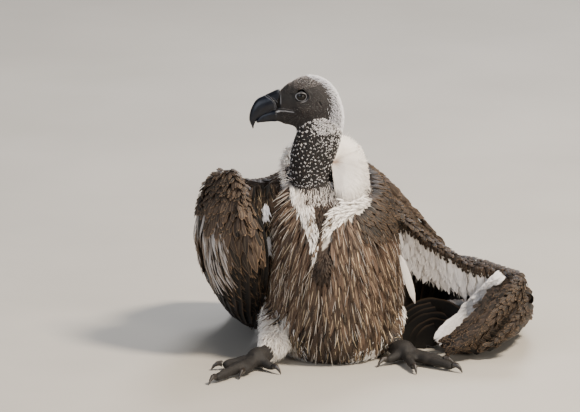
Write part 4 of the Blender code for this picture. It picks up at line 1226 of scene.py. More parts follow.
def makeVaneMaterial():
    # Feather vane: matt keratin barbs with a faint silky sheen, darker or paler along the shaft and at the rim
    made, tree, shader = newMaterial("featherVane")
    marks = {
        key: addNode(tree, "Attribute", attribute_name=key).outputs["Fac"]
        for key in ("tone", "pale", "streak", "rim", "cool", "chance")
    }
    spot = addNode(tree, "UVMap", uv_map="vane")
    across, along, _ = addNode(tree, "SeparateXYZ", {"Vector": spot}).outputs
    centred = addNode(tree, "Math", {0: across, 1: 0.5}, operation="SUBTRACT")
    away = addNode(tree, "Math", {0: centred}, operation="ABSOLUTE")
    # barbs slope forwards from the shaft: 34 rows a feather, coarser than the real 0.4 mm so that they show
    slope = addNode(tree, "Math", {0: away, 1: -28.0}, operation="MULTIPLY")
    rows = addNode(tree, "Math", {0: along, 1: 34.0, 2: slope}, operation="MULTIPLY_ADD")
    turns = addNode(tree, "Math", {0: rows, 1: 6.283}, operation="MULTIPLY")
    barb = addNode(tree, "Math", {0: turns}, operation="SINE")
    seed = addNode(tree, "Math", {0: marks["chance"], 1: 37.0, 2: along}, operation="MULTIPLY_ADD")
    drift = addNode(tree, "CombineXYZ", {"X": centred, "Y": seed})
    blotch = addNode(tree, "TexNoise", {"Vector": drift, "Scale": 5.0, "Detail": 4.0, "Roughness": 0.6})
    tone = addNode(tree, "Math", {0: blotch, 1: 0.5, 2: marks["tone"]}, operation="MULTIPLY_ADD")
    tone = addNode(tree, "Math", {0: tone, 1: 0.25}, operation="SUBTRACT", use_clamp=True)
    base = addNode(
        tree, "Mix", {"Factor": tone, "A": vaneColours["dark"], "B": vaneColours["brown"]}, data_type="RGBA"
    )
    # pale rim, a little uneven
    nearRim = addNode(tree, "MapRange", {"Value": away, "From Min": 0.40, "From Max": 0.49})
    nearTip = addNode(tree, "MapRange", {"Value": along, "From Min": 0.87, "From Max": 0.98})
    late = addNode(tree, "MapRange", {"Value": along, "From Min": 0.25, "From Max": 0.6})
    sides = addNode(tree, "Math", {0: nearRim, 1: late}, operation="MULTIPLY")
    border = addNode(tree, "Math", {0: sides, 1: nearTip}, operation="MAXIMUM")
    worn = addNode(tree, "Math", {0: border, 1: blotch}, operation="MULTIPLY")
    rim = addNode(tree, "Math", {0: worn, 1: marks["rim"]}, operation="MULTIPLY")
    rim = addNode(tree, "Math", {0: rim, 1: 1.7}, operation="MULTIPLY", use_clamp=True)
    rimmed = addNode(tree, "Mix", {"Factor": rim, "A": base, "B": vaneColours["tan"]}, data_type="RGBA")
    # cream stripe along the shaft, wider on some feathers
    width = addNode(tree, "Math", {0: marks["chance"], 1: 0.06, 2: 0.035}, operation="MULTIPLY_ADD")
    inside = addNode(tree, "Math", {0: width, 1: away}, operation="SUBTRACT")
    stripe = addNode(tree, "MapRange", {"Value": inside, "From Min": -0.02, "From Max": 0.03})
    onset = addNode(tree, "MapRange", {"Value": along, "From Min": 0.2, "From Max": 0.5})
    stripe = addNode(tree, "Math", {0: stripe, 1: onset}, operation="MULTIPLY")
    stripe = addNode(tree, "Math", {0: stripe, 1: marks["streak"]}, operation="MULTIPLY", use_clamp=True)
    striped = addNode(tree, "Mix", {"Factor": stripe, "A": rimmed, "B": vaneColours["cream"]}, data_type="RGBA")
    white = addNode(
        tree, "Mix", {"Factor": marks["cool"], "A": vaneColours["warmWhite"], "B": vaneColours["coolWhite"]},
        data_type="RGBA"
    )
    whole = addNode(tree, "Mix", {"Factor": marks["pale"], "A": striped, "B": white}, data_type="RGBA")
    shade = addNode(
        tree, "MapRange", {"Value": barb, "From Min": -1.0, "From Max": 1.0, "To Min": 0.86, "To Max": 1.0}
    )
    tinted = addNode(tree, "Mix", {"Factor": 1.0, "A": whole, "B": shade}, data_type="RGBA", blend_type="MULTIPLY")
    shaft = addNode(
        tree, "MapRange", {"Value": away, "From Min": 0.0, "From Max": 0.03, "To Min": 3.0, "To Max": 0.0}
    )
    height = addNode(tree, "Math", {0: barb, 1: shaft}, operation="ADD")
    bump = addNode(tree, "Bump", {"Height": height, "Strength": 0.22, "Distance": 0.0003})
    rough = addNode(tree, "MapRange", {"Value": blotch, "To Min": 0.48, "To Max": 0.74})
    setShader(shader, Base_Color=tinted, Normal=bump, Roughness=rough)
    setShader(shader, IOR=1.54, Specular_IOR_Level=0.28, Sheen_Weight=0.01, Sheen_Roughness=0.4)
    return made


def makeDownMaterial():
    # Down and hair-like plumes: soft white barbs, stained towards the root, or short dark bristles
    made, tree, shader = newMaterial("downBarbs")
    marks = {
        key: addNode(tree, "Attribute", attribute_name=key).outputs["Fac"]
        for key in ("tone", "pale", "cool", "chance", "stain")
    }
    spot = addNode(tree, "UVMap", uv_map="vane")
    along = addNode(tree, "SeparateXYZ", {"Vector": spot}).outputs["Y"]
    dark = addNode(
        tree, "Mix", {"Factor": marks["tone"], "A": downColours["dark"], "B": downColours["brown"]}, data_type="RGBA"
    )
    white = addNode(
        tree, "Mix", {"Factor": marks["cool"], "A": downColours["warmWhite"], "B": downColours["coolWhite"]},
        data_type="RGBA"
    )
    rootStain = addNode(
        tree, "MapRange", {"Value": along, "From Min": 0.0, "From Max": 0.55, "To Min": 1.0, "To Max": 0.0}
    )
    stain = addNode(tree, "Math", {0: rootStain, 1: marks["stain"]}, operation="MULTIPLY", use_clamp=True)
    stained = addNode(tree, "Mix", {"Factor": stain, "A": white, "B": downColours["stain"]}, data_type="RGBA")
    whole = addNode(tree, "Mix", {"Factor": marks["pale"], "A": dark, "B": stained}, data_type="RGBA")
    vary = addNode(tree, "MapRange", {"Value": marks["chance"], "To Min": 0.80, "To Max": 1.0})
    tinted = addNode(tree, "Mix", {"Factor": 1.0, "A": whole, "B": vary}, data_type="RGBA", blend_type="MULTIPLY")
    rough = addNode(tree, "MapRange", {"Value": marks["chance"], "To Min": 0.62, "To Max": 0.85})
    setShader(shader, Base_Color=tinted, Roughness=rough)
    setShader(shader, IOR=1.54, Specular_IOR_Level=0.35, Sheen_Weight=0.12, Sheen_Roughness=0.5)
    return made


vaneMaterial, downMaterial = makeVaneMaterial(), makeDownMaterial()


def finishCoat(piece, material, replaced=()):
    piece.data.materials.append(material)
    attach(piece, "root")
    if replaced:
        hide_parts(*replaced)
    print(piece.name, len(piece.data.polygons))


def between(low, high):
    # Draws one number for each feather that is kept
    return lambda *given: rng.uniform(low, high, len(given[-1]))


# Candidates for feather roots all over the bird, leaving out places that the form itself shuts in
rootLook = {"count": 130000, "seed": 5, "start": 0.0015, "room": 0.009, "lowest": 0.004}
rootPlaces, rootNormals = sampleForm(rootLook["count"], rootLook["seed"])
rootOwner = ownerOf(rootPlaces)
rootMarks = marksAt(rootPlaces, rootNormals, rootOwner)
names, own, flat = rootMarks["names"], rootMarks["own"], rootMarks["flat"]
isOpen = np.array(
    [
        form["tree"].ray_cast(p + n * rootLook["start"], n, rootLook["room"])[0] is None
        for p, n in zip(rootPlaces, rootNormals)
    ]
)
isOpen &= own[:, 2] > rootLook["lowest"]
startsWith = {
    key: np.char.startswith(names, key)
    for key in ("trunk", "ruff", "scapulars_left", "scapulars_right", "wing_left", "wing_right", "thigh", "tail")
}
onTrunk = np.nonzero(startsWith["trunk"] & isOpen)[0]
rootKind = rootMarks["kind"].copy()
paths, ups, _ = lieAlong("body", rootPlaces[onTrunk], rootNormals[onTrunk], np.full(len(onTrunk), 0.026), 4)
shown = marksAt(paths[:, 2], ups[:, 2], ownerOf(paths[:, 2]))
tipKind = rootKind.copy()
tipKind[onTrunk] = marksAt(paths[:, -1], ups[:, -1], ownerOf(paths[:, -1]))["kind"]
ahead = np.char.startswith(shown["names"], "trunk")
for key in ("tone", "pale", "streak", "rim", "cool", "kind"):
    rootMarks[key][onTrunk[ahead]] = shown[key][ahead]
fromLeftEdge, alongLeft = toLine(rootPlaces, leftEdge)
fromRightEdge, _ = toLine(rootPlaces, rightEdge)
facing = rootMarks["facing"]
print("roots", len(rootPlaces))


def overCrop(paths):
    # Whether any of each path's later stations lies on the full crop
    own = paths[:, 1:] - shift
    return (((own[..., 0] + 0.0170) / 0.0145) ** 2 + ((own @ seen - 0.1430) / 0.0285) ** 2 < 1).any(1)


def layCoat(
    name, chosen, group, shape, spacing, length, width, steps=5, bury=0.0045, lift=0.0008, swing=0.10, material=None,
    changes=None, replaced=(), tilt=0.06, stretch=1.0, looseMost=0.45, offCrop=False
):
    # Lays one kind of feather over the chosen roots; stretch below 1 spaces the rows wider than the columns
    spacing, length, width = (np.broadcast_to(v, len(rootPlaces)) for v in (spacing, length, width))
    kept = thinned(rootPlaces * (1, 1, stretch), spacing, chosen & isOpen)
    if not len(kept):
        print("nothing for", name)
        return None
    count = len(kept)
    size = length[kept] * rng.uniform(0.86, 1.14, count)
    paths, ups, loose = lieAlong(group, rootPlaces[kept], rootNormals[kept], size, steps, rng.normal(0, swing, count))
    held = loose < looseMost
    if offCrop:
        held &= ~overCrop(paths)
    kept, paths, ups, count = kept[held], paths[held], ups[held], int(held.sum())
    t = np.linspace(0, 1, steps + 1)
    height = -bury * (1 - t) ** 1.4 + lift * t
    jitter = rng.normal(0, 0.0004, count)
    paths = paths + ups * (height[None] + jitter[:, None] * t[None])[:, :, None]
    values = {key: rootMarks[key][kept].copy() for key in ("tone", "pale", "streak", "rim", "cool")}
    values["chance"] = rng.random(count)
    values["tone"] = values["tone"] + rng.normal(0, 0.09, count)
    values["streak"] = values["streak"] * rng.uniform(0.25, 1.05, count)
    values["rim"] = values["rim"] * rng.uniform(0.6, 1.15, count)
    for key, value in (changes or {}).items():
        values[key] = value(values[key], kept) if callable(value) else np.broadcast_to(value, count)
    piece = stampFeathers(
        name, shapes[shape], paths, ups, width[kept] * rng.uniform(0.88, 1.12, count), values,
        patchAt(rootPlaces[kept]), rng.normal(0, tilt, count)
    )
    finishCoat(piece, material or vaneMaterial, replaced)
    return piece


kind = np.where(rootKind == 4, 4, rootMarks["kind"])
body = startsWith["trunk"]
fur = body & (rootKind == 3)
front = body & (kind == 1) & ~fur
silk = body & (kind == 2) & (tipKind != 3)
front = front & (tipKind != 3)
mantle = body & (kind < 2) & (flat[:, 0] > 0.034) & (flat[:, 1] > 0.195)
front = front & ~mantle
acrossX, height = flat[:, 0], flat[:, 1]
scaly = {"tone": between(0.0, 0.22), "rim": between(0.4, 1.0), "streak": 0.08}
collar = body & (height > 0.240) & (np.abs(acrossX + 0.022) < 0.040) & (own[:, 1] < 0.045)
high = smoothStep(own[:, 2], 0.20, 0.27)
dapple = {
    "tone": lambda tone, kept: tone + rng.normal(-0.04, 0.24, len(kept)),
    "streak": lambda streak, kept: streak * (rng.random(len(kept)) < 0.8), "pale": 0.0
}
# Each coat: where it grows, the way it lies and its shape, then spacing, length and width in metres
layCoat(
    "breastFeathers", front & ~collar, "body", "lance", 0.0066 - 0.0010 * high, 0.056 - 0.030 * high,
    0.0105 - 0.003 * high, steps=7, stretch=0.5, swing=0.13, changes=dapple, offCrop=True
)
layCoat(
    "breastSilk", silk & ~collar, "silk", "lance", 0.0030, 0.017, 0.0032, steps=6, lift=0.0012, swing=0.10,
    stretch=0.6, offCrop=True
)
layCoat(
    "cropFur", fur & ~collar, "body", "lance", 0.0022, 0.0080, 0.0020, steps=4, bury=0.003, lift=0.001,
    changes={"tone": between(0.08, 0.40), "streak": 0.0, "pale": 0.0, "rim": 0.2}
)
back = body & (kind == 0)
onBack = smoothStep(own[:, 1], 0.02, 0.12)
layCoat(
    "mantleFeathers", mantle & ~collar, "body", "lance", 0.0056, 0.022, 0.0085, changes=scaly, swing=0.18, stretch=0.8
)
layCoat(
    "backFeathers", back & ~collar & ~mantle, "body", "contour", 0.0080 + 0.002 * onBack, 0.028 + 0.014 * onBack,
    0.012 + 0.006 * onBack, stretch=0.75
)
behind = smoothStep(own[:, 1], 0.11, 0.20)
for name, sided in (("scapularFeathers", "left"), ("scapularFeathersRight", "right")):
    member = "scapulars_" + sided
    layCoat(
        name, startsWith[member], sided + "Scapulars", "covert", 0.0066 + 0.0060 * behind, 0.024 + 0.034 * behind,
        0.011 + 0.012 * behind, replaced=(member,)
    )

right = startsWith["wing_right"]
web = np.char.endswith(names, "propatagium") | np.char.endswith(names, "upper_arm")
reach = fromRightEdge
edgeGaps = (0.0, 0.03, 0.06, 0.10, 0.15)  # coverts grow longer and broader away from the wing's front edge
size = np.interp(reach, edgeGaps, (0.012, 0.020, 0.034, 0.056, 0.070))
broad = np.interp(reach, edgeGaps, (0.0070, 0.0085, 0.0120, 0.0170, 0.0190))
layCoat("rightShoulderFeathers", right & web, "body", "contour", 0.0056, 0.018, 0.0086, swing=0.15)
shown = right & ~web & (facing | ((rootNormals[:, 0] > 0.25) & (own[:, 1] < 0.09)))
outline = acrossX < -0.172
dark = {"tone": between(-0.25, 0.03), "streak": 0.0, "rim": between(0.3, 0.9)}
warm = {"tone": between(0.08, 0.50), "streak": 0.12, "rim": 0.8}
ashen = {
    "tone": between(0.15, 1.0), "streak": between(0.3, 1.0), "rim": 1.0,
    "pale": lambda pale, kept: 0.62 * rng.random(len(kept)) ** 1.3
}
layCoat(
    "rightWingDarkRows", shown & (height < 0.205) & (height > 0.050), "rightFront", "lance", 0.0105,
    np.clip((height - 0.026) * 1.1, 0.028, 0.085), 0.0125, steps=8, stretch=0.55, lift=0.0, bury=0.006, changes=dark,
    swing=0.05, looseMost=0.3
)
layCoat(
    "rightWingTip", shown & (height <= 0.060), "rightFront", "lance", 0.0085, 0.026, 0.0105, stretch=0.6,
    changes=dark, swing=0.05, looseMost=0.1
)
layCoat(
    "rightWingStreaks", shown & outline & (height < 0.240) & (height > 0.135), "rightFront", "lance", 0.0050, 0.042,
    0.0052, steps=7, stretch=0.45, lift=0.0030, changes=ashen, swing=0.07
)
layCoat(
    "rightWingGreater", shown & ~outline & (height < 0.225) & (height > 0.170), "rightFront", "lance", 0.0105, 0.052,
    0.0145, steps=7, stretch=0.7, lift=0.0036, bury=0.003, changes=warm, swing=0.20
)
layCoat(
    "rightWingMedian", shown & (height < 0.252) & (height > 0.208) & (acrossX > -0.200), "rightFront", "covert",
    0.0068, 0.024, 0.0100, stretch=0.7, lift=0.0044, bury=0.002, changes=warm, swing=0.20
)
layCoat(
    "rightWingScales", shown & (height >= 0.232), "rightFront", "covert", 0.0043, 0.0125, 0.0066, lift=0.0030,
    changes={"tone": between(0.0, 0.40), "rim": between(0.4, 1.0), "streak": 0.15}, swing=0.20
)
layCoat(
    "rightWingCoverts", right & ~web & ~facing & (reach < 0.110), "rightWing", "covert", broad * 0.70, size, broad,
    steps=6
)
left = startsWith["wing_left"]
white = left & (rootMarks["pale"] > 0.5)
hand = left & (np.char.endswith(names, "hand") | np.char.endswith(names, "alula")) & ~white
reach = fromLeftEdge
size = np.interp(reach, edgeGaps, (0.013, 0.020, 0.034, 0.054, 0.066))
broad = np.interp(reach, edgeGaps, (0.0072, 0.0090, 0.0120, 0.0170, 0.0190))
band = left & np.char.endswith(names, "propatagium") & ~white
layCoat(
    "leftShoulderFeathers", band | (left & np.char.endswith(names, "arm") & ~white & ~band), "body", "contour",
    0.0038, 0.012, 0.0056, swing=0.20, changes=scaly
)
handSpacing, handLength, handWidth = (
    np.interp(alongLeft, (0.55, 0.75, 1), sizes)
    for sizes in ((0.0033, 0.0039, 0.0050), (0.009, 0.014, 0.026), (0.0048, 0.0060, 0.0078))
)
layCoat("leftHandCoverts", hand, "hand", "covert", handSpacing, handLength, handWidth, changes=scaly, swing=0.22)
layCoat(
    "leftWingCoverts", left & ~hand & ~white & ~band & ~np.char.endswith(names, "arm") & (reach < 0.125), "leftWing",
    "covert", broad * 0.70, size, broad, steps=6
)
webWhite = white & (acrossX < 0.252) & (height > np.interp(acrossX, (0.19, 0.215, 0.26), (0.085, 0.110, 0.136)))
layCoat(
    "underwingCoverts", webWhite, "underwing", "contour", 0.0056, 0.032, 0.0098, lift=0.0030, swing=0.22, stretch=0.8,
    tilt=0.15, looseMost=0.5
)
tailRoot = startsWith["tail"] & (own[:, 1] < 0.315)
layCoat("tailCoverts", tailRoot, "tail", "covert", 0.011, 0.055, 0.020)
thigh = startsWith["thigh"]


def frontMost(spots):
    # Where lines of sight through these places (x, height seen) first meet the plumage
    look = unit(-towards)
    found = []
    for x, high in spots:
        start = np.array((x, 0, 0)) + high * unit(seen) / np.linalg.norm(seen) + shift - look
        hit, normal, _, _ = form["tree"].ray_cast(start, look)
        found.append((hit, normal) if hit is not None else (start + look, -look))
    return np.array([f[0] for f in found]), unit(np.array([f[1] for f in found]))


def stampFree(name, starts, ways, normals, lengths, widths, shape, values, bend=0.0, steps=7):
    # Feathers laid one by one, straight or bent a little towards the floor
    count = len(starts)
    t = np.linspace(0, 1, steps)[None, :, None]
    paths = (
        starts[:, None] + unit(ways)[:, None] * (lengths[:, None, None] * t)
        + np.array((0, 0, -1.0)) * (bend * lengths)[:, None, None] * t**2
    )
    marked = {"tone": 0.2, "pale": 0.0, "streak": 0.0, "rim": 0.5, "cool": 0.3, "chance": rng.random(count)}
    marked.update(values)
    piece = stampFeathers(
        name, shapes[shape], paths, np.repeat(unit(normals)[:, None], steps, 1), widths, marked, patchAt(starts),
        rng.normal(0, 0.15, count)
    )
    finishCoat(piece, vaneMaterial)


def placesFrom(x, high, y):
    # Places given by x, the height seen from the front and the depth
    x, high, y = np.broadcast_arrays(np.atleast_1d(x), high, y)
    return np.stack([x, y, (high - seen[1] * y) / seen[2]], 1) + shift


# white coverts along the folded hand's inner edge, and dark ones inside them
handLook = {"rows": 7, "steps": 101, "slant": 0.70}  # rows lie this much of the half width across, and as much down
strip = np.array(wingMarks["handEdge"])
line = curveThrough([(x, 0, z) for x, z, _ in strip], handLook["steps"])


def besideHand(count, nearest, furthest, spread, slack, proud):
    # Rows of places beside the hand's inner edge, and their depth just over the plumage
    t = np.repeat(np.linspace(0, 1, count), handLook["rows"])
    side = np.tile(np.linspace(nearest, furthest, handLook["rows"]), count) + rng.normal(0, spread, len(t))
    half = np.interp(t, np.linspace(0, 1, len(strip)), strip[:, 2])
    steps = np.linspace(0, 1, handLook["steps"])
    x = np.interp(t, steps, line[:, 0]) + side * half * handLook["slant"]
    high = np.interp(t, steps, line[:, 2]) - side * half * handLook["slant"]
    deep = (frontMost(list(zip(x, high)))[0] - shift)[:, 1]
    solid = deep < 0.030
    fitted = np.polyval(np.polyfit(t[solid], deep[solid], 2), t)
    return placesFrom(x, high, np.where(solid, np.minimum(deep, fitted + slack), fitted) - proud)


def acrossHand(count, spread, forward):
    # The way these coverts point, and which way they face
    ways = [rng.normal(-0.74, spread, count), np.full(count, forward), rng.normal(-0.66, spread, count)]
    return np.stack(ways, 1), np.tile((-0.25, -1.0, 0.35), (count, 1))


spots = besideHand(62, -1, 0.85, 0.12, 0, 0.0022)
count = len(spots)
stampFree(
    "handEdgeCoverts", spots, *acrossHand(count, 0.14, -0.06), rng.uniform(0.013, 0.019, count),
    rng.uniform(0.0055, 0.0080, count), "lance", {"pale": rng.uniform(0.86, 1.0, count), "cool": 0.4}
)
spots = besideHand(52, 0.9, 3.4, 0.15, 0.004, 0.0012)
count = len(spots)
stampFree(
    "handInnerCoverts", spots, *acrossHand(count, 0.2, -0.02), rng.uniform(0.009, 0.015, count),
    rng.uniform(0.0048, 0.0065, count), "covert",
    {"tone": rng.uniform(0.0, 0.25, count), "rim": rng.uniform(0.4, 1.0, count)}
)
# the long pale feather under the arm
spot = placesFrom(0.1010, 0.161, -0.010)
tip = placesFrom(0.1250, 0.0835, -0.002)
stampFree(
    "longAxillary", spot, tip - spot + (0, 0, 0.012), np.array([[0.1, -1.0, 0.2]]), np.array([0.072]),
    np.array([0.0125]), "contour", {"pale": 0.62, "tone": 0.7, "rim": 0.8, "cool": 0.2, "streak": 0.5}, 0.16
)
# loose body feathers that close the gap between the drooping wing and the side
count = 420
x, high = rng.uniform(-0.128, -0.094, count), rng.uniform(0.172, 0.272, count)
depth = np.interp(x, (-0.128, -0.112, -0.094), (-0.034, -0.017, -0.009)) + rng.uniform(-0.004, 0.004, count)
ways = np.stack([rng.normal(0.03, 0.16, count), rng.normal(0.06, 0.06, count), np.full(count, -1.0)], 1)
stampFree(
    "sideFeathers", placesFrom(x, high, depth), ways, np.tile((-0.25, -1.0, 0.1), (count, 1)),
    rng.uniform(0.018, 0.034, count), rng.uniform(0.0042, 0.0066, count), "lance",
    {
        "tone": rng.uniform(-0.25, 0.45, count), "streak": 0.9 * (rng.random(count) < 0.5),
        "rim": rng.uniform(0.2, 0.8, count)
    }
)
count = 130
lower = rng.random(count) < 0.55
x = np.where(lower, -0.1035, -0.1080) + rng.normal(0, 0.0022, count)
high = np.where(lower, 0.190, 0.242) - rng.uniform(0, 0.022, count)
ways = np.stack([rng.normal(0.08, 0.25, count), rng.normal(-0.05, 0.05, count), np.full(count, -1.0)], 1)
stampFree(
    "sideTufts", placesFrom(x, high, -0.022), ways, np.tile((-0.25, -1.0, 0.1), (count, 1)),
    rng.uniform(0.007, 0.013, count), rng.uniform(0.0012, 0.0024, count), "lance",
    {"pale": rng.uniform(0.6, 0.95, count), "cool": 0.95}
)

# flight feathers of the leant wing, seen from inside as arcs one within the other
ownPatch = {"perRow": 9, "size": (0.10, 0.10)}  # a flight feather has a square of its own in the unwrap
arcs = []
for size in (1.0, 0.88, 0.78, 0.63, 0.53, 0.40):
    turn = np.radians(np.linspace(205 + rng.uniform(-12, 12), rng.uniform(-8, 22), 12))
    x = 0.150 + 0.064 * size * np.cos(turn) + 0.016 * (1 - size) + rng.normal(0, 0.002)
    z = np.maximum(0.004 + 0.062 * size * np.sin(turn) * (1 + 0.12 * np.cos(turn)), 0.003)
    y = 0.086 - 0.034 * (1 - size) - 0.035 * smoothStep(np.linspace(0, 1, 12), 0.55, 1.0)
    arcs.append(np.stack([x, y + 0 * x, z], 1) + shift)
arcs = np.array(arcs)
inward = unit(arcs - (np.array((0.152, 0.07, 0.0)) + shift)) * (1, 0, 1)
facingUs = unit(np.cross(np.gradient(arcs, axis=1), inward))
facingUs *= -np.sign(facingUs[..., 1:2])
count = len(arcs)
# the darkest of all the flight feathers: their own near-black deepened with painted shade of the hollow under the
# wing
values = {
    "tone": rng.uniform(-0.30, -0.08, count), "pale": 0.0, "streak": 0.0, "rim": rng.uniform(0.15, 0.5, count),
    "cool": 0.3, "chance": rng.random(count)
}
innerRemiges = stampFeathers(
    "innerRemiges", shapes["remex"], arcs - inward * 0.004, facingUs, rng.uniform(0.030, 0.038, count), values,
    np.full((count, 2), 0.5), 0.0, ownPatch["size"]
)
finishCoat(innerRemiges, vaneMaterial)

# Flight feathers, each one laid along its own line of the fan
stations = 24  # points along each feather
fans = {
    "rightPrimaries": {
        "lines": rightPrimaryLines, "count": 10, "shape": "remex", "width": 0.034, "tilt": -0.10,
        "node": "wing_right_primaries"
    },
    "rightSecondaries": {
        "lines": rightSecondaryLines, "count": 14, "shape": "remex", "width": 0.036, "tilt": -0.10,
        "node": "wing_right_secondaries"
    },
    "leftPrimaries": {
        "lines": leftPrimaryLines, "count": 10, "shape": "remex", "width": 0.036, "tilt": 0.10,
        "node": "wing_left_primaries"
    },
    "leftSecondaries": {
        "lines": leftSecondaryLines, "count": 15, "shape": "remex", "width": 0.036, "tilt": 0.10,
        "node": "wing_left_secondaries"
    },
    "leftTertials": {
        "lines": leftTertialLines, "count": 9, "shape": "remex", "width": 0.040, "tilt": 0.16, "node": None
    },
    "tailFan": {"lines": tailLines, "count": 12, "shape": "rectrix", "width": 0.046, "tilt": 0.08, "node": "tail"},
}
cell = 0
for name, fan in fans.items():
    curves = np.array([curveThrough(line, stations) for line in fan["lines"]])
    count = fan["count"]
    grid = np.array([curveThrough(curves[:, k], count) for k in range(stations)]).transpose(1, 0, 2) + shift
    ups = unit(np.cross(np.gradient(grid, axis=1), np.gradient(grid, axis=0)))
    if name == "tailFan":
        ups = ups * np.sign(ups[..., 2:].mean())
    lengths = rng.uniform(0.955, 1.0, count)
    t = np.linspace(0, 1, stations)
    paths = np.array(
        [[np.interp(t * reach, t, row[:, a]) for a in range(3)] for row, reach in zip(grid, lengths)]
    ).transpose(0, 2, 1)
    # near black: the flight feathers' own dark colour, deepened with painted shade so that the inner edge of the
    # right wing reads as shadow
    values = {
        "tone": rng.uniform(-0.10, 0.08, count), "pale": np.zeros(count), "streak": np.full(count, 0.05),
        "rim": rng.uniform(0.08, 0.26, count), "cool": np.full(count, 0.5), "chance": rng.random(count)
    }
    cells = np.arange(cell, cell + count)
    cell += count
    across = ownPatch["perRow"]
    patches = np.stack([(cells % across + 0.5) / across, (cells // across + 0.5) / across], 1)
    widths = fan["width"] * rng.uniform(0.95, 1.05, count)
    if fan["shape"] == "remex":
        widths = widths * np.interp(np.arange(count), (0, 2, count - 2, count - 1), (0.45, 1, 1, 0.7))
    piece = stampFeathers(
        name, shapes[fan["shape"]], paths, ups, widths, values, patches, fan["tilt"], ownPatch["size"]
    )
    finishCoat(piece, vaneMaterial, (fan["node"],) if fan["node"] else ())

# Ruff of long hair-like plumes


def layDown(
    name, chosen, group, spacing, length, width, rise, settle, shape="down", steps=4, sink=0.002, values=None,
    swing=0.3, droop=0.0, replaced=(), pool=None, offCrop=False
):
    # Lays free-standing locks of down over the chosen roots
    places, normals, marks = pool or (rootPlaces, rootNormals, rootMarks)
    spacing, length, width = (np.broadcast_to(v, len(places)) for v in (spacing, length, width))
    kept = thinned(places, spacing, chosen)
    count = len(kept)
    up = normals[kept]
    way = flowOf(group, places[kept], up)
    way = unit(way + np.cross(up, way) * rng.normal(0, swing, count)[:, None])
    size = length[kept] * rng.uniform(0.7, 1.25, count)
    paths, ups = springUp(
        places[kept] - up * sink, way, up, size, steps, rng.normal(rise, 0.12, count),
        rng.normal(settle, 0.12, count), droop
    )
    if offCrop:
        clear = ~overCrop(paths)
        kept, paths, ups, count = kept[clear], paths[clear], ups[clear], int(clear.sum())
    marked = {key: marks[key][kept].astype(float) for key in ("tone", "pale", "cool")}
    marked["chance"] = rng.random(count)
    marked["stain"] = np.zeros(count)
    for key, value in (values or {}).items():
        marked[key] = value(kept) if callable(value) else np.broadcast_to(value, count)
    piece = stampFeathers(
        name, shapes[shape], paths, ups, width[kept] * rng.uniform(0.8, 1.2, count), marked, patchAt(places[kept])
    )
    finishCoat(piece, downMaterial, replaced)
    return piece


def gapToRuffEdge(flat):
    # How far plumes may still run before they reach the ruff's outline
    away = flat - (-0.007, 0.305)
    angle = np.degrees(np.arctan2(away[:, 1], away[:, 0]))
    edge = np.interp(
        angle, (-110, -90, -74, -64, -49, -31, -11, 10, 36, 56, 75, 100, 180),
        (0.040, 0.052, 0.067, 0.077, 0.082, 0.074, 0.064, 0.057, 0.051, 0.051, 0.046, 0.036, 0.034)
    )
    return edge - np.hypot(away[:, 0], away[:, 1])


ruffRoom = np.where(flat[:, 0] > -0.022, gapToRuffEdge(flat), 0.016)
onLeft = smoothStep(-flat[:, 0], 0.020, 0.034)
ruffLength = np.clip(ruffRoom, 0.007, 0.036) * (1 - 0.35 * onLeft)
inFan = (flat[:, 0] > -0.014) & (rootNormals @ towards > 0.0)
ruffKept = startsWith["ruff"] & (ruffRoom > 0.004) & ~inFan
stained = {"pale": 1.0, "cool": 0.12, "stain": lambda k: 0.85 * (rng.random(len(k)) < 0.35)}
layDown(
    "ruffUnderDown", startsWith["ruff"], "ruff", 0.0030, np.clip(ruffRoom, 0.006, 0.016) * (1 - 0.4 * onLeft),
    0.0042 - 0.0022 * onLeft, 0.10, -0.05, "down", 3, 0.006, {"pale": 1.0, "cool": 0.15, "stain": 0.35}, swing=0.3,
    replaced=("ruff",)
)
layDown(
    "ruffPlumes", ruffKept, "ruff", 0.00165 + 0.0022 * onLeft, ruffLength, 0.00125 - 0.0005 * onLeft, 0.16, 0.04,
    "plume", 6, 0.003, stained, swing=0.12
)
# the fan of silky plumes that stands open beside the neck, laid in circles round its root
fanLook = {"root": (-0.0070, 0.3050), "strands": 4600, "locks": 190, "reach": (0.024, 0.036), "bend": 12, "steps": 8}
count = fanLook["strands"]
lock = rng.uniform(-74, 100, fanLook["locks"])[rng.integers(0, fanLook["locks"], count)]
start = lock + rng.normal(0, 2.6, count)
inner = rng.uniform(0.0, 0.70, count) ** 1.15
strand = rng.uniform(*fanLook["reach"], count)
t = np.linspace(0, 1, fanLook["steps"])[None]
turned = np.stack([np.cos(np.radians(start)), np.sin(np.radians(start))], 1)
whole = gapToRuffEdge(np.array(fanLook["root"]) + turned * 0.001) + 0.001
fromRoot = whole * inner
outer = np.minimum(fromRoot + strand, whole * rng.uniform(0.88, 1.06, count))
radius = fromRoot[:, None] + (outer - fromRoot)[:, None] * t
share = radius / whole[:, None]
turn = np.radians(
    start[:, None] + 0.75 * (lock - start)[:, None] * t + rng.normal(0, 1.6, count)[:, None] * t**2
    - fanLook["bend"] * share**2
)
x = fanLook["root"][0] + radius * np.cos(turn)
high = fanLook["root"][1] + radius * np.sin(turn)
depth = np.interp(
    high, (0.246, 0.254, 0.270, 0.286, 0.302, 0.318, 0.334, 0.350),
    (-0.050, -0.047, -0.039, -0.028, -0.015, 0.001, 0.017, 0.030)
)
depth = depth + 0.010 * (1 - smoothStep(x, -0.006, 0.018)) + 0.018 * np.clip((share - 0.60) / 0.40, 0, 1.2) ** 2
depth = depth + (rng.uniform(-0.0015, 0.0025, count) + 0.0020 * inner)[:, None]
paths = placesFrom(x.ravel(), high.ravel(), depth.ravel()).reshape(count, fanLook["steps"], 3)
outwards = unit(np.stack([0.55 * (x - 0.030) / 0.03, np.full(x.shape, -1.0), 0.45 + (high - 0.30) / 0.06], 2))
values = {
    "pale": 1.0, "tone": 0.5, "cool": 0.12, "chance": 0.45 + 0.55 * rng.random(count),
    "stain": np.where(inner < 0.16, 0.75 * ridge(start - 2, 34) + 0.15, 0.12)
}
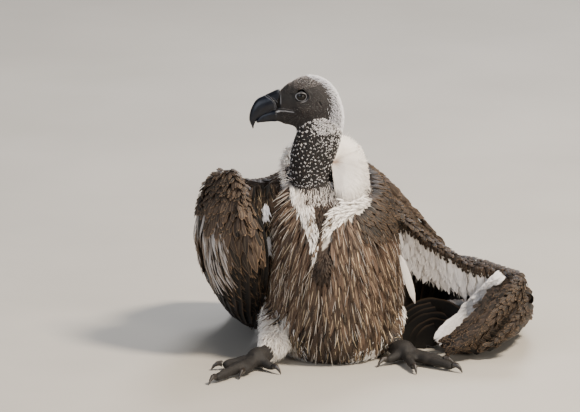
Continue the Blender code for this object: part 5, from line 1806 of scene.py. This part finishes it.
finishCoat(
    stampFeathers(
        "ruffFan", shapes["plume"], paths, outwards, rng.uniform(0.0008, 0.0012, count), values, patchAt(paths[:, 0])
    ),
    downMaterial
)
# Each down: where it grows and the way it lies, then spacing, length and width in metres,
# how steeply it stands at the root and at the tip in radians, its shape and steps, and how deep it is rooted
sock = (thigh & (own[:, 2] < 0.098)) | (body & (rootKind == 4))
layDown(
    "sockDown", sock, "leg", 0.00155, 0.013 + 0.010 * smoothStep(own[:, 2], 0.05, 0.09), 0.0015, 0.75, 0.05, "plume",
    5, 0.006,
    {
        "pale": lambda k: 1 - 0.6 * smoothStep(own[k, 2], 0.060, 0.095) * rng.random(len(k)), "cool": 0.1,
        "stain": lambda k: 0.5 * (rng.random(len(k)) < 0.35)
    },
    swing=0.5
)
layDown(
    "silkPlumes", silk & ~collar, "silk", 0.00125, 0.016, 0.0009, 0.12, 0.0, "plume", 6, 0.001,
    {"pale": 1.0, "cool": 0.1, "stain": between(0.0, 0.3)}, swing=0.12, offCrop=True
)
layDown(
    "underwingPlumes", webWhite & isOpen, "underwing", 0.0032, 0.018, 0.0012, 0.12, 0.0, "plume", 5, 0.001,
    {"pale": 1.0, "cool": 0.15, "stain": between(0.0, 0.3)}, swing=0.30
)
layDown(
    "breastHairs", front & ~collar, "body", 0.0046, 0.028, 0.0013, 0.08, 0.02, "plume", 5, 0.001,
    {
        "pale": lambda k: 0.62 * (rng.random(len(k)) < 0.24),
        # darker towards the floor: painted shade under the body
        "tone": lambda k: rng.uniform(0.1, 0.9, len(k)) * (0.40 + 0.60 * smoothStep(own[k, 2], 0.04, 0.13)),
        "cool": 0.0, "stain": 0.7
    },
    swing=0.14, offCrop=True
)
layDown(
    "cropHairs", fur & ~collar, "body", 0.0020, 0.006, 0.0008, 0.25, 0.05, "down", 3, 0.001,
    {"pale": 0.0, "tone": between(0.1, 0.6)}, swing=0.4
)
layDown(
    "collarFluff", collar, "neck", 0.0014, 0.010, 0.0010, 0.14, 0.0, "plume", 5, 0.003,
    {"pale": between(0.70, 1.0), "tone": 0.8, "cool": 0.15, "stain": between(0.0, 0.5)}, swing=0.20
)

# Down and bristles of the head and neck, rooted on the skin
headLook = {
    "count": 70000, "seed": 9, "from": 0.262,
    "crownCount": 90000, "crownSeed": 10, "crownFrom": 0.365, "chanceSeed": 21,
    "clumps": 190, "clumpSeed": 4, "clumpReach": 0.0040, "tuftReach": (0.0006, 0.0011),
}
skinCentres = skinSurface["places"][skinSurface["triangles"]].mean(1) - shift
upperSkin = (
    (skinCentres[:, 2] > headLook["from"]) & (np.abs(skinCentres[:, 0] + 0.030) < 0.085) & (skinCentres[:, 1] < 0.08)
)
crownSkin = upperSkin & (skinCentres[:, 2] > headLook["crownFrom"])
headPlaces, headNormals = sampleForm(headLook["count"], headLook["seed"], skinSurface, upperSkin)
morePlaces, moreNormals = sampleForm(headLook["crownCount"], headLook["crownSeed"], skinSurface, crownSkin)
headPlaces, headNormals = np.vstack([headPlaces, morePlaces]), np.vstack([headNormals, moreNormals])
headOwner = np.array(ownerNames)[ownerOf(headPlaces)]
isNeck = np.char.startswith(headOwner, "neck")
onHead = np.char.startswith(headOwner, "head")
forward, up, side, _ = headParts(headPlaces)
almond = almondOf(forward, up)
ownHead = headPlaces - shift
flatHead = np.stack([ownHead[:, 0], ownHead @ seen], 1)
chanceOf = np.random.default_rng(headLook["chanceSeed"]).random(len(headPlaces))
# the white band down the back of the head, broken up where it meets the dark face
bandFrom = np.interp(up, (-58, -43, -23, -3, 10, 20, 25.5, 27.5), (-36, -41, -43.5, -41, -35, -23, -8, 8))
whiteness = smoothStep(bandFrom - forward, -3.0, 5.0)
isWhite = onHead & (chanceOf < whiteness)
clear = onHead & (almond > 1.75) & (forward < 31.5)
gapeGap, _ = toLine(np.stack([forward, up], 1), faceFolds["gape"])
clear &= gapeGap > 2.0
lores = clear & (forward > 8) & (up > -20) & (up < 3)
forehead = clear & (up > 8 + 0.25 * np.abs(forward - 4)) & (forward > -38)
headPool = (
    headPlaces, headNormals,
    {"tone": np.full(len(headPlaces), 0.3), "pale": np.zeros(len(headPlaces)), "cool": np.full(len(headPlaces), 0.5)}
)
layDown(
    "faceBristles", clear & ~isWhite & ~forehead & ~lores, "head", 0.00092, 0.0027, 0.00040, 0.30, 0.08, "bristle", 2,
    0.0004,
    {
        "tone": lambda k: 0.7 * rng.uniform(0.0, 1.0, len(k)) ** 1.3,
        "pale": lambda k: 0.24 * (rng.random(len(k)) < 0.35)
    },
    swing=0.35, pool=headPool
)
layDown(
    "loreBristles", lores & ~forehead, "head", 0.0017, 0.0024, 0.00036, 0.35, 0.10, "bristle", 2, 0.0004,
    {"tone": lambda k: rng.uniform(0.0, 0.6, len(k)) ** 1.6}, swing=0.45, pool=headPool
)
layDown(
    "foreheadDown", forehead & ~isWhite, "head", 0.00072, 0.0034, 0.00056, 0.42, 0.15, "bristle", 2, 0.0005,
    {
        "tone": between(0.2, 1.0), "pale": lambda k: 0.95 * smoothStep(up[k], 5, 19) * rng.random(len(k)) ** 1.1,
        "cool": 0.4, "stain": 0.6
    },
    swing=0.40, pool=headPool
)
# the white band's down gets the cool, bluish white: painted sky shade on the back of the head
layDown(
    "crownDown", isWhite, "head", 0.0012 + 0.0024 * (1 - whiteness), 0.0050, 0.00105, 0.62, 0.15, "down", 3, 0.0008,
    {"pale": between(0.82, 1.0), "cool": 0.75}, swing=0.5, pool=headPool
)
neckX = np.interp(flatHead[:, 1], (0.270, 0.315, 0.355), (-0.039, -0.0406, -0.029))
across = (flatHead[:, 0] - neckX) / 0.032
backside = headNormals[:, 1] > 0.1
density = (
    0.10 + 0.30 * smoothStep(across, -0.4, 0.5)
    + 0.75 * smoothStep(flatHead[:, 1], 0.322, 0.352) * smoothStep(across, -0.5, 0.3)
    + 0.75 * smoothStep(-flatHead[:, 1], -0.279, -0.266)
)
density = np.where(backside, np.maximum(density, 0.75), density)
clumps = np.random.default_rng(headLook["clumpSeed"]).integers(0, isNeck.sum(), headLook["clumps"])
clumps = headPlaces[np.nonzero(isNeck)[0][clumps]]
toClump = np.full(len(headPlaces), 1.0)
for clump in clumps:
    toClump = np.minimum(toClump, np.linalg.norm(headPlaces - clump, axis=1))
density = density * (0.60 + 0.90 * np.exp(-((toClump / headLook["clumpReach"]) ** 2)))
tufts = thinned(headPlaces, 0.0024 + 0.0040 * np.clip(1 - density, 0, 1) ** 1.2, isNeck)
tuftTree = KDTree(len(tufts))
for number, place in enumerate(headPlaces[tufts]):
    tuftTree.insert(place, number)
tuftTree.balance()
inTuft = np.zeros(len(headPlaces), bool)
for number in np.nonzero(isNeck)[0]:
    _, tuft, gap = tuftTree.find(headPlaces[number])
    inTuft[number] = gap < headLook["tuftReach"][0] + headLook["tuftReach"][1] * chanceOf[tufts[tuft]]
layDown(
    "neckDown", isNeck, "neck", 0.00185, 0.0048, 0.0011, 0.30, 0.06, "bristle", 2, 0.0006,
    {"tone": lambda k: 0.35 * rng.random(len(k)) ** 2}, swing=0.5, pool=headPool
)
layDown(
    "neckTufts", inTuft, "neck", 0.00048, 0.0029, 0.00105, 0.75, 0.20, "down", 3, 0.0006,
    {"pale": between(0.8, 1.0), "cool": 0.5}, swing=1.3, pool=headPool
)
baseRing = (flatHead[:, 1] < 0.268) & (isNeck | np.char.startswith(headOwner, "trunk")) & (ownHead[:, 2] > 0.262)
layDown(
    "neckBaseFluff", baseRing, "neck", 0.0012, 0.0070, 0.0010, 0.30, 0.02, "plume", 5, 0.0010,
    {"pale": between(0.5, 1.0), "tone": 0.8, "cool": 0.2, "stain": between(0.0, 0.8)}, swing=0.30, pool=headPool
)

# Stage
stageLook = {
    "elevation": 13.0, "distance": 20.0, "lens": 800.9, "target": (-0.06975, -0.020, 0.2481), "farthest": 60,
    "floorSize": 14, "floorColours": ("#a8a39a", "#b0aba2"), "sky": "#dfe3ea", "skyStrength": 0.27,
    "lightsAimAt": (-0.04, -0.1, 0.2),
    "lights": (  # place, size, watts and colour
        ("keyLight", (1.9, -1.5, 3.2), 0.7, 330, "#fff1de"),
        ("fillLight", (-2.4, -2.4, 1.4), 2.2, 38, "#e8f0ff"),
        ("frontLight", (1.9, -3.0, 0.9), 0.9, 66, "#fff4e6"),
        ("rimLight", (0.6, 2.4, 2.6), 1.2, 110, "#f3f6ff"),
        ("topLight", (0.0, 0.0, 3.4), 2.4, 26, "#ffffff"),
    ),
}
target = Vector(at(stageLook["target"])[0])
lean = math.radians(stageLook["elevation"])
standOff = Vector((0, -math.cos(lean), math.sin(lean))) * stageLook["distance"]
bpy.ops.object.camera_add(location=target + standOff, rotation=(math.pi / 2 - lean, 0, 0))
camera = bpy.context.object
camera.name = "camera"
camera.data.lens = stageLook["lens"]
camera.data.clip_end = stageLook["farthest"]
bpy.context.scene.camera = camera
deselectAll()
bpy.ops.mesh.primitive_plane_add(size=stageLook["floorSize"], location=(0, 4.0, 0))
floor = bpy.context.object
floor.name = "floor"
editAll(floor)
bpy.ops.mesh.subdivide(number_cuts=1)
leaveEdit()
# Pale matt paper, faintly mottled
floorMaterial, tree, shader = newMaterial("palePaper")
spot = addNode(tree, "TexCoord").outputs["Object"]
mottle = addNode(tree, "TexNoise", {"Vector": spot, "Scale": 3.0, "Detail": 3.0})
tint = addNode(tree, "ValToRGB", {"Fac": mottle}, stops=list(zip((0.3, 0.7), stageLook["floorColours"])))
setShader(shader, Base_Color=tint, Roughness=0.9)
floor.data.materials.append(floorMaterial)
for name, place, size, power, tint in stageLook["lights"]:
    deselectAll()
    bpy.ops.object.light_add(type="AREA", location=place)
    light = bpy.context.object
    light.name = name
    aim = Vector(stageLook["lightsAimAt"]) - Vector(place)
    light.rotation_euler = aim.to_track_quat("-Z", "Y").to_euler()
    light.data.shape = "DISK"
    light.data.size = size
    light.data.energy = power
    light.data.color = colour(tint)[:3]
world = bpy.data.worlds.new("studio")
world.use_nodes = True
setShader(world.node_tree.nodes["Background"], Color=stageLook["sky"], Strength=stageLook["skyStrength"])
bpy.context.scene.world = world
bpy.data.objects.remove(plumage)
